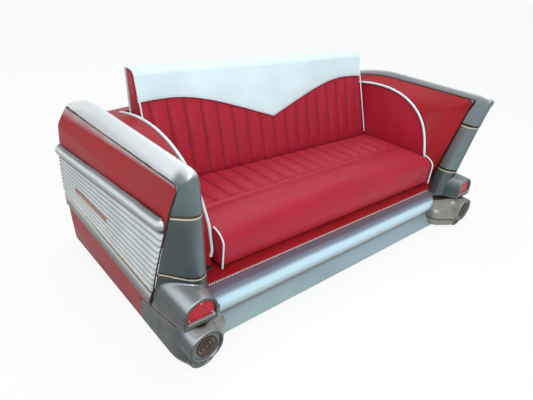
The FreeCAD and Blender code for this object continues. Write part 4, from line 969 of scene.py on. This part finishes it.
def rib_tree():
    """Ribbed panel on the curved side: ribs that fan out towards the front, with closed edges."""
    t = Tree("rib fan", [("Ribs", "Int"), ("Proud", "Float"), ("Plate", "Float"), ("Material", "Material")])
    along, per_rib = 48, 8
    across = t.line(t.given["Ribs"], float(per_rib), 3.0)
    sheet = t.add("GeometryNodeMeshGrid", {"Size X": 1.0, "Size Y": 1.0, "Vertices X": along + 3,
                                           "Vertices Y": across})
    flat = t.add("ShaderNodeSeparateXYZ", {0: t.add("GeometryNodeInputPosition")}).node.outputs
    run = t.times(t.plus(flat[0], 0.5), float(along + 2))
    rise = t.times(t.plus(flat[1], 0.5), t.minus(across, 1.0))
    teeth = t.minus(across, 3.0)

    def inside(steps, count):
        held = t.math("MINIMUM", t.math("MAXIMUM", t.minus(steps, 1.0), 0.0), count)
        return t.math("DIVIDE", held, count)

    share_run, share_rise = inside(run, float(along)), inside(rise, teeth)
    rim = t.plus(t.plus(t.math("LESS_THAN", run, 0.5), t.math("GREATER_THAN", run, along + 1.5)),
                 t.plus(t.math("LESS_THAN", rise, 0.5),
                        t.math("GREATER_THAN", rise, t.minus(across, 1.5))))
    rim = t.math("MINIMUM", rim, 1.0)

    def lerp(share, start, end):
        return t.line(share, t.minus(end, start), start)

    front_z = lerp(share_rise, LOWER_TRIM[0] / 1000.0, UPPER_TRIM[0] / 1000.0)
    rear_z = lerp(share_rise, LOWER_TRIM[1] / 1000.0, UPPER_TRIM[1] / 1000.0)
    seam = depth(SEAM_TOP_Y + SEAM + FIN_OUT_Z * SEAM_LEAN)
    front_y = t.line(front_z, -SEAM_LEAN, seam)
    z = lerp(share_run, front_z, rear_z)
    y = lerp(share_run, front_y, depth(BODY_DEPTH))
    middle_x, middle_z, radius = (part / 1000.0 for part in circle_through(*SIDE_POINTS))
    drop = t.math("POWER", t.minus(z, middle_z), 2.0)
    side = t.plus(t.math("SQRT", t.minus(radius * radius, drop)), middle_x)
    wave = t.math("FRACT", t.line(share_rise, t.given["Ribs"], 0.0001))
    wave = t.math("POWER", t.line(wave, 2.0, -1.0), 2.0)
    crest = t.math("POWER", t.math("MAXIMUM", t.minus(1.0, wave), 0.0), 0.6)
    lift = t.line(crest, t.given["Proud"], t.given["Plate"])
    lift = t.times(lift, t.minus(1.0, rim))
    x = t.plus(side, t.plus(lift, GAP / 1000.0))
    groove_shade = t.minus(1.0, crest)
    # groove_shade marks the grooves for the rib paint's painted shade.
    marked = t.add("GeometryNodeStoreNamedAttribute", {"Geometry": sheet, "Name": "groove_shade", "Value": groove_shade},
                   data_type="FLOAT", domain="POINT")
    place = t.add("ShaderNodeCombineXYZ", {0: x, 1: y, 2: z})
    return t.close(t.add("GeometryNodeSetPosition", {"Geometry": marked, "Position": place}))


def path_piece(name, points):
    """Open chain of points in metres that a tree follows."""
    return drawn(name, points, [(i, i + 1) for i in range(len(points) - 1)], [])


def cord(name, path, radius):
    """White cord along points in millimetres."""
    return cord_tree().run(path_piece(name, spots(path)), Radius=radius, Material=finish("white vinyl"))


def puffed(name, node, voxel, shrink, held, cap):
    """Padded piece: the solid, a little smaller, filled by cloth pressure and then divided once."""
    scene = bpy.context.scene
    shown = merged_copy(name, [node])
    remesh(shown, voxel, 1)
    start = corners(shown.data)
    tight = held(in_mm(start))
    start = start - outward(shown.data) * (shrink * (1.0 - tight))[:, None]
    move_corners(shown.data, start)
    weigh(shown, "held", tight)
    cloth = shown.modifiers.new("fill", "CLOTH")
    cloth.settings.use_pressure = True
    cloth.settings.uniform_pressure_force = scene.sofa_cover.pressure
    cloth.settings.vertex_group_mass = "held"
    cloth.settings.effector_weights.gravity = 0.0
    cloth.collision_settings.use_collision = False
    cloth.point_cache.frame_start, cloth.point_cache.frame_end = 1, FILL_STEPS
    for step in range(1, FILL_STEPS + 1):
        scene.frame_set(step)
    depsgraph = bpy.context.evaluated_depsgraph_get()
    swollen = corners(shown.evaluated_get(depsgraph).data)
    shown.modifiers.clear()
    scene.frame_set(1)
    move = swollen - start
    size = np.linalg.norm(move, axis=1)
    move *= np.minimum(1.0, cap / np.maximum(size, 1e-9))[:, None]
    move_corners(shown.data, start + move)
    shown.vertex_groups.clear()
    finer = shown.modifiers.new("finer", "SUBSURF")
    finer.levels = finer.render_levels = 1
    applied(shown)
    shown.data.shade_smooth()
    return shown


def channel(x, pitch):
    """Distance from the nearest sewn channel, counted from the middle of the sofa."""
    return np.abs(x - np.round(x / pitch) * pitch)


def held_rows(x, pitch):
    """Share that is held down along the sewn channels."""
    return 1.0 - ease(channel(x, pitch), 4.0, 7.0)


def held_ends(x, half):
    """Share that is held at the two ends of a cushion."""
    return ease(np.abs(x), half - 14.0, half - 6.0)


def between_ends(x, half):
    """Share that fades out towards the two ends of a cushion."""
    return 1.0 - ease(np.abs(x), half - 24.0, half - 10.0)


def build_shell():
    """Painted side panels, deck and shelf, and the smooth inner faces of the fins."""
    coat_pair("quarter_panel", "red side paint")
    for node in ("front_deck", "rear_shelf"):
        coat(node, "red body paint")
    columns = 15
    foot_z = DECK_Z + GAP
    rise, run = FIN_IN[1] - foot_z, BODY_DEPTH - INNER_TOP[1]
    ways = np.concatenate([np.linspace(0.0, rise, 30), np.linspace(rise, rise + run, 60)[1:]])
    rows = len(ways)
    edge = smooth_line(ARM_EDGE, 400)
    points = []
    for way in ways:
        if way <= rise:
            drop = rise - way
            rim = (INNER_TOP[0] - INNER_LEAN[0] * drop - SEAM, INNER_TOP[1] + INNER_LEAN[1] * drop,
                   foot_z + way)
        else:
            rim_y = INNER_TOP[1] + way - rise
            fall = max(0.0, (rim_y - FALL_START) / (BODY_DEPTH - FALL_START)) ** FALL_POWER
            rim = (FIN_IN[0] - IN_FALL[0] * fall - GAP, rim_y, FIN_IN[1] - IN_FALL[1] * fall)
        y, z = edge[int(round(way / (rise + run) * (len(edge) - 1)))]
        hem = (float(arm_x(z)), y, z)
        for column in range(columns):
            share = column / (columns - 1)
            points.append([rim[i] + (hem[i] - rim[i]) * share for i in range(3)])
    right = sheet_from("fin_inner_shape_right", spots(points), columns, "red fin paint")
    normals = outward(right.data)
    if normals[len(normals) // 2][0] > 0:
        right.data.flip_normals()
        normals = -normals
    share = np.tile(np.linspace(0.0, 1.0, columns), rows)
    fade = np.repeat(np.sin(np.pi * np.linspace(0.0, 1.0, rows)) ** 0.5, columns)
    hollow = FIN_HOLLOW / 1000.0 * np.sin(np.pi * share) * fade
    move_corners(right.data, corners(right.data) - normals * hollow[:, None])
    thicken(right, FIN_SKIN / 1000.0)
    settle_pair(right, "fin_inner_shape", "red_paint", "fin_inner_panel")


def build_fins():
    """Silver strips that run into the fin tips."""
    sculpted_pair("fin_crest", ["fin_strip", "fin_tip"], voxel=0.004, rounds=5, pull=0.0035, grow=0.002)


def build_tail_ends():
    """Bezels, lamp housings and bumper ends, with their lamps and ports."""
    def inner_flank(mm):
        return (1.0 - ease(mm[:, 0], 780.0, 812.0)) * ease(mm[:, 1], -86.0, -56.0)

    sculpted_pair("fin_bezel", ["fin_bezel"], voxel=0.0035, rounds=3)
    sculpted_pair("lamp_housing", ["lamp_housing"], voxel=0.0030, rounds=4)
    sculpted_pair("bumper_end", ["bumper_end"], voxel=0.0030, rounds=6, smooth_where=inner_flank)
    coat_pair("lamp_lens", "lamp lens")
    coat_pair("lens_screws", "screw steel")
    coat_pair("port_insert", "port rings")
    coat_pair("lower_port_insert", "lower port")


def build_side_trim(scene):
    """Mouldings, ribbed panels, cream lines and plain bars on both sides."""
    sculpted_pair("upper_moulding", ["upper_moulding"], voxel=0.003, rounds=2, material="upper moulding")
    sculpted_pair("lower_moulding", ["lower_moulding"], voxel=0.003, rounds=3, material="lower moulding")
    trim = scene.sofa_trim
    right = rib_tree().run(path_piece("ribs_right", [(0.0, 0.0, 0.0), (0.0, 0.0, 0.01)]), Ribs=trim.ribs,
                           Proud=trim.proud, Plate=trim.plate, Material=finish("rib paint"))
    if sum(face.normal.x for face in right.data.polygons) < 0:
        right.data.flip_normals()
    settle_pair(right, "ribs", "rib_paint", "ribbed_panel")
    coat_pair("cream_line", "cream line")
    coat_pair("trim_bar", "copper bar")


def build_front():
    """Bumper bar, valance and the bright edge of the deck."""
    coat("bumper_bar", "satin silver paint")
    coat("valance", "satin silver paint")
    coat("deck_trim", "bright trim")


def joined(name, pieces):
    """One piece from several."""
    shape = bmesh.new()
    for piece in pieces:
        shape.from_mesh(piece.data)
    whole = from_shape(name, shape)
    whole.data.materials.append(pieces[0].data.materials[0])
    for piece in pieces:
        bpy.data.objects.remove(piece)
    return whole


def build_arms(scene):
    """Crowned arm pads with white piping along their edges."""
    edge = smooth_line(ARM_EDGE, 240)

    def held(mm):
        inner = ease(mm[:, 0] - arm_x(mm[:, 2]), 4.0, 9.0)
        reach = np.full(len(mm), 1e9)
        for y, z in edge:
            reach = np.minimum(reach, (mm[:, 1] - y) ** 2 + (mm[:, 2] - z) ** 2)
        rim = 1.0 - ease(np.sqrt(reach), 14.0, 30.0)
        hidden = ease(mm[:, 1], 500.0, 560.0)
        return np.maximum.reduce([inner, rim, hidden, 1.0 - ease(mm[:, 2], 246.0, 256.0)])

    right = puffed("arm_cushion_right", "arm_pad_right", voxel=0.008, shrink=0.004, held=held, cap=0.011)
    right.data.materials.append(finish("red vinyl"))
    mark(right.data, "crease", np.zeros(len(right.data.vertices)))
    for pad in settle_pair(right, "arm_cushion", "red_vinyl", "arm_pad"):
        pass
    hem_z = DECK_Z + ARM_HEM_RISE
    path = []
    for y, z in edge:
        if z > hem_z and y < ARM_CORD_END_Y:
            tuck = ARM_CORD_TUCK * (1.0 - ease(z, hem_z, hem_z + ARM_CORD_TURN))
            path.append((float(arm_x(z) - ARM_CORD_OUT + tuck), y, z))
    line = cord("arm_cord_right", path, scene.sofa_cover.arm_piping)
    settle_pair(line, "arm_cord", "white_vinyl", "arm_piping")


def build_seat(scene):
    """Loose seat cushion: pleats behind a cross seam, a plain front roll and white side piping."""
    cover = scene.sofa_cover
    pitch = cover.pleat * 1000.0

    def held(mm):
        x, y, z = mm.T
        top = ease(z, 366.0, 376.0)
        sewn = held_rows(x, pitch) * ease(y, SEAT_SEAM_Y + 25.0, SEAT_SEAM_Y + 60.0) * top
        seam = (1.0 - ease(np.abs(y - SEAT_SEAM_Y), 4.0, 8.0)) * top
        rear = ease(y, SEAT_REAR_Y - 16.0, SEAT_REAR_Y - 6.0)
        return np.maximum.reduce([sewn, seam, 1.0 - ease(z, 256.0, 270.0), rear, held_ends(x, SEAT_HALF)])

    cushion = puffed("seat_pad", "seat_cushion", voxel=0.009, shrink=0.006, held=held, cap=0.014)
    mesh = cushion.data
    mesh.materials.append(finish("red vinyl"))
    x, y, z = in_mm(corners(mesh)).T
    normals = outward(mesh)
    top = ease(normals[:, 2], 0.3, 0.6) * ease(z, 360.0, 372.0)
    sewn = np.exp(-(channel(x, pitch) / 5.5) ** 2) * ease(y, SEAT_SEAM_Y + 6.0, SEAT_SEAM_Y + 70.0) * top
    sewn *= between_ends(x, SEAT_HALF)
    seam = np.exp(-((y - SEAT_SEAM_Y) / 4.0) ** 2) * top * 0.8
    dip = np.maximum(sewn, seam)
    move_corners(mesh, corners(mesh) - normals * (dip * cover.pleat_depth)[:, None])
    # The crease mark sets the vinyl's painted shade in the channels and the cross seam.
    mark(mesh, "crease", dip)
    settle(cushion, SEAT, "red_vinyl", "seat_cushion")
    turn = np.linspace(0.0, SEAT_CORD_TURN, 24)
    x, front_y, top_z = SEAT_HALF - SEAT_CORD_OUT, SEAT_FRONT_Y - SEAT_CORD_OUT, SEAT_TOP_Z + SEAT_CORD_OUT
    roll = [(x, SEAT_ROLL_Y - (SEAT_ROLL_Y - front_y) * math.cos(a),
             SEAT_EDGE_Z + (top_z - SEAT_EDGE_Z) * math.sin(a)) for a in turn]
    path = [(x, front_y, z) for z in np.linspace(SEAT_FOOT_Z, SEAT_EDGE_Z, 14)[:-1]] + roll
    line = cord("seat_cord_right", path, cover.piping)
    whole = joined("seat_cords", [line, mirrored(line, "seat_cord_left")])
    settle(whole, SEAT, "white_vinyl", "seat_piping")


def build_yoke():
    """White yoke: up the front of the backrest, round its top edge and over to the rear cover."""
    columns = 181
    across = np.linspace(-BACK_HALF, BACK_HALF, columns)
    hem, knee = yoke_z(across), BACK_TOP_Z - BACK_ROUND
    lean = math.atan(BACK_LEAN)
    sheet = []

    def add_row(y, z):
        sheet.append(np.stack([across, np.full(columns, y), np.full(columns, z)], axis=1))

    for share in np.linspace(0.0, 1.0, 34):
        z = hem + (knee - hem) * share
        proud = YOKE_THICK * ease(z - hem, -4.0, 14.0) + YOKE_PUFF * ease(z - hem, 0.0, 50.0)
        add_row(back_front_y(z) - proud * math.cos(lean), z + proud * math.sin(lean))
    under_y, over_y = float(back_front_y(knee)), float(back_front_y(BACK_TOP_Z)) + BACK_ROUND
    for share in np.linspace(0.0, 1.0, 9)[1:]:
        turn = lean + (math.pi / 2 - lean) * share
        bend = math.pi / 2 * share
        proud = YOKE_THICK + YOKE_PUFF * (1.0 - share)
        add_row(under_y + (over_y - under_y) * (1.0 - math.cos(bend)) - proud * math.cos(turn),
                knee + (BACK_TOP_Z - knee) * math.sin(bend) + proud * math.sin(turn))
    rear_y = BACK_REAR_TOP_Y - COVER_THICK + 1.0
    for share in np.linspace(0.0, 1.0, 7)[1:]:
        add_row(over_y + (rear_y - over_y) * share, BACK_TOP_Z + YOKE_THICK - YOKE_TUCK * share ** 4)
    yoke = sheet_from("back_yoke", spots(np.concatenate(sheet)), columns, "white vinyl")
    if sum(face.normal.y for face in yoke.data.polygons) > 0:
        yoke.data.flip_normals()
    thicken(yoke, YOKE_SKIN / 1000.0)
    mark(yoke.data, "crease", np.zeros(len(yoke.data.vertices)))
    settle(yoke, SHELL, "white_vinyl", "backrest_yoke")


def build_back(scene):
    """Backrest: red pleats and gussets under a white yoke, with white side piping."""
    cover = scene.sofa_cover
    pitch = cover.pleat * 1000.0

    def on_front(mm):
        return 1.0 - ease(mm[:, 1] - back_front_y(mm[:, 2]), 8.0, 14.0)

    def held(mm):
        x, z = mm[:, 0], mm[:, 2]
        under = yoke_z(x) - z
        return np.maximum.reduce([1.0 - on_front(mm), held_rows(x, pitch), 1.0 - ease(under, 6.0, 16.0),
                                  held_ends(x, BACK_HALF), 1.0 - ease(z, 300.0, 380.0)])

    back = puffed("back_pad", "backrest_cushion", voxel=0.009, shrink=0.005, held=held, cap=0.013)
    mesh = back.data
    mesh.materials.append(finish("red vinyl"))
    x, y, z = in_mm(corners(mesh)).T
    normals = outward(mesh)
    front = ease(-normals[:, 1], 0.3, 0.6) * (1.0 - ease(y - back_front_y(z), 12.0, 18.0))
    under = yoke_z(x) - z
    sewn = np.exp(-(channel(x, pitch) / 6.5) ** 2) * front * ease(under, -4.0, 6.0)
    sewn *= between_ends(x, BACK_HALF)
    seam = np.exp(-(under / 5.0) ** 2) * front
    sink = ease(-under, -4.0, 10.0) * front
    dip = np.maximum(sewn, seam)
    deep = dip * cover.pleat_depth + sink * (BACK_SINK / 1000.0)
    move_corners(mesh, corners(mesh) - normals * deep[:, None])
    # The crease mark sets the vinyl's painted shade in the channels and, weaker, along the yoke's seam.
    mark(mesh, "crease", np.maximum(sewn, seam * 0.25))
    settle(back, SHELL, "red_vinyl", "backrest_cushion")
    build_yoke()
    x = BACK_HALF - BACK_CORD_IN
    path = [(x, float(back_front_y(z)) - BACK_CORD_OUT, z) for z in np.linspace(*BACK_CORD_ENDS, 60)]
    line = cord("back_cord_right", path, cover.piping)
    whole = joined("back_cords", [line, mirrored(line, "back_cord_left")])
    settle(whole, SHELL, "white_vinyl", "backrest_piping")
    coat("backrest_rear_cover", "white vinyl")


def build_inside():
    """Frame, boards, rear panel and glides."""
    for node in ("base_long_rails", "base_cross_rails", "seat_rails", "seat_posts", "back_uprights"):
        coat(node, "timber")
    for node in ("seat_platform", "seat_board", "back_board"):
        coat(node, "plywood")
    coat("rear_panel", "painted board")
    coat("rear_panel_screws", "screw steel")
    coat("glides", "glide plastic")


def build_stage(scene):
    """Pale floor, soft light and the camera."""
    stage = scene.sofa_stage
    floor = Finish("pale floor")
    tree = floor.tree
    path = tree.nodes.new("ShaderNodeLightPath").outputs
    seen = floor.most(path["Is Camera Ray"], path["Is Glossy Ray"], path["Is Transmission Ray"])
    shader = tree.nodes["Principled BSDF"]
    floor.set(Base_Color=FLOOR_TONE, Roughness=0.9, Specular_IOR_Level=0.0)
    glow = floor.add("ShaderNodeEmission", {"Color": (1.0, 1.0, 1.0, 1.0), "Strength": 1.0})
    shares = {0: floor.times(seen, FLOOR_GLOW), 1: shader.outputs[0], 2: glow}
    blend = floor.add("ShaderNodeMixShader", shares)
    tree.links.new(blend, tree.nodes["Material Output"].inputs["Surface"])
    points = [(x * FLOOR_HALF, y * FLOOR_HALF, 0.0) for x, y in ((-1, -1), (1, -1), (1, 1), (-1, 1))]
    ground = drawn("studio_floor", points, [], [(0, 1, 2, 3)])
    ground.data.materials.append(floor.material)
    world = bpy.data.worlds.new("studio")
    world.use_nodes = True
    sky = Nodes(world.node_tree)
    back = world.node_tree.nodes["Background"]
    back.inputs["Color"].default_value = SKY_TONE
    path = world.node_tree.nodes.new("ShaderNodeLightPath").outputs
    sky.feed(back.inputs["Strength"], sky.line(path["Is Camera Ray"], 1.0 - stage.sky, stage.sky))
    scene.world = world
    for (name, place, aim, size), power in zip(LAMPS, (stage.key, stage.fill)):
        lamp = bpy.data.lights.new(name, "AREA")
        lamp.size, lamp.energy = size, power
        shown = placed(name, lamp)
        shown.location = place
        shown.rotation_euler = (Vector(place) - Vector(aim)).to_track_quat("Z", "Y").to_euler()
    a, e, r = stage.azimuth, stage.elevation, stage.roll
    back = Vector((math.sin(a) * math.cos(e), -math.cos(a) * math.cos(e), math.sin(e)))
    right = Vector((0.0, 0.0, 1.0)).cross(back).normalized()
    up = back.cross(right)
    right, up = math.cos(r) * right + math.sin(r) * up, math.cos(r) * up - math.sin(r) * right
    lens = bpy.data.cameras.new("photo camera")
    lens.lens, lens.sensor_width, lens.sensor_fit = stage.lens, SENSOR_WIDTH, "HORIZONTAL"
    scene.camera = placed("photo camera", lens)
    turn = Matrix((right, up, back)).transposed().to_4x4()
    scene.camera.matrix_world = Matrix.Translation(stage.place) @ turn
    scene.view_settings.view_transform = "Standard"


class SOFA_OT_shell(bpy.types.Operator):
    """Paint the side panels, deck and shelf and make the inner faces of the fins"""
    bl_idname = "sofa.shell"
    bl_label = "Painted shell"

    def execute(self, context):
        build_shell()
        return {"FINISHED"}


class SOFA_OT_fins(bpy.types.Operator):
    """Make the silver strips and tips of the fins"""
    bl_idname = "sofa.fins"
    bl_label = "Fin strips"

    def execute(self, context):
        build_fins()
        return {"FINISHED"}


class SOFA_OT_tail_ends(bpy.types.Operator):
    """Make the bezels, lamp housings and bumper ends"""
    bl_idname = "sofa.tail_ends"
    bl_label = "Tail ends"

    def execute(self, context):
        build_tail_ends()
        return {"FINISHED"}


class SOFA_OT_side_trim(bpy.types.Operator):
    """Make the mouldings and the ribbed panels"""
    bl_idname = "sofa.side_trim"
    bl_label = "Side trim"

    def execute(self, context):
        build_side_trim(context.scene)
        return {"FINISHED"}


class SOFA_OT_front(bpy.types.Operator):
    """Paint the bumper bar, the valance and the deck's edge"""
    bl_idname = "sofa.front"
    bl_label = "Front bar"

    def execute(self, context):
        build_front()
        return {"FINISHED"}


class SOFA_OT_arms(bpy.types.Operator):
    """Make the arm pads and their piping"""
    bl_idname = "sofa.arms"
    bl_label = "Arms"

    def execute(self, context):
        build_arms(context.scene)
        return {"FINISHED"}


class SOFA_OT_seat(bpy.types.Operator):
    """Make the pleated seat cushion"""
    bl_idname = "sofa.seat"
    bl_label = "Seat"

    def execute(self, context):
        build_seat(context.scene)
        return {"FINISHED"}


class SOFA_OT_back(bpy.types.Operator):
    """Make the pleated backrest with its white yoke"""
    bl_idname = "sofa.back"
    bl_label = "Backrest"

    def execute(self, context):
        build_back(context.scene)
        return {"FINISHED"}


class SOFA_OT_inside(bpy.types.Operator):
    """Finish the frame, the boards, the rear panel and the glides"""
    bl_idname = "sofa.inside"
    bl_label = "Frame and rear"

    def execute(self, context):
        build_inside()
        return {"FINISHED"}


class SOFA_OT_stage(bpy.types.Operator):
    """Set up the floor, the light and the camera"""
    bl_idname = "sofa.stage"
    bl_label = "Stage"

    def execute(self, context):
        build_stage(context.scene)
        return {"FINISHED"}


STEPS = (SOFA_OT_stage, SOFA_OT_shell, SOFA_OT_fins, SOFA_OT_tail_ends, SOFA_OT_side_trim, SOFA_OT_front,
         SOFA_OT_arms, SOFA_OT_seat, SOFA_OT_back, SOFA_OT_inside)
SETTINGS = (("sofa_paint", SofaPaint), ("sofa_cover", SofaCover), ("sofa_trim", SofaTrim),
            ("sofa_stage", SofaStage))


class SOFA_PT_panel(bpy.types.Panel):
    """Sizes, colours and steps of the sofa"""
    bl_idname = "SOFA_PT_panel"
    bl_label = "Car tail sofa"
    bl_space_type = "VIEW_3D"
    bl_region_type = "UI"
    bl_category = "Sofa"

    def draw(self, context):
        for step in STEPS:
            self.layout.operator(step.bl_idname)
        for name, group in SETTINGS:
            box = self.layout.box()
            for key in group.__annotations__:
                box.prop(getattr(context.scene, name), key)


def register():
    for name, group in SETTINGS:
        bpy.utils.register_class(group)
        setattr(bpy.types.Scene, name, PointerProperty(type=group))
    for step in STEPS:
        bpy.utils.register_class(step)
    bpy.utils.register_class(SOFA_PT_panel)


def unregister():
    bpy.utils.unregister_class(SOFA_PT_panel)
    for step in reversed(STEPS):
        bpy.utils.unregister_class(step)
    for name, group in reversed(SETTINGS):
        delattr(bpy.types.Scene, name)
        bpy.utils.unregister_class(group)


def main():
    register()
    for step in STEPS:
        family, call = step.bl_idname.split(".")
        getattr(getattr(bpy.ops, family), call)()


if __name__ == "__main__":
    main()
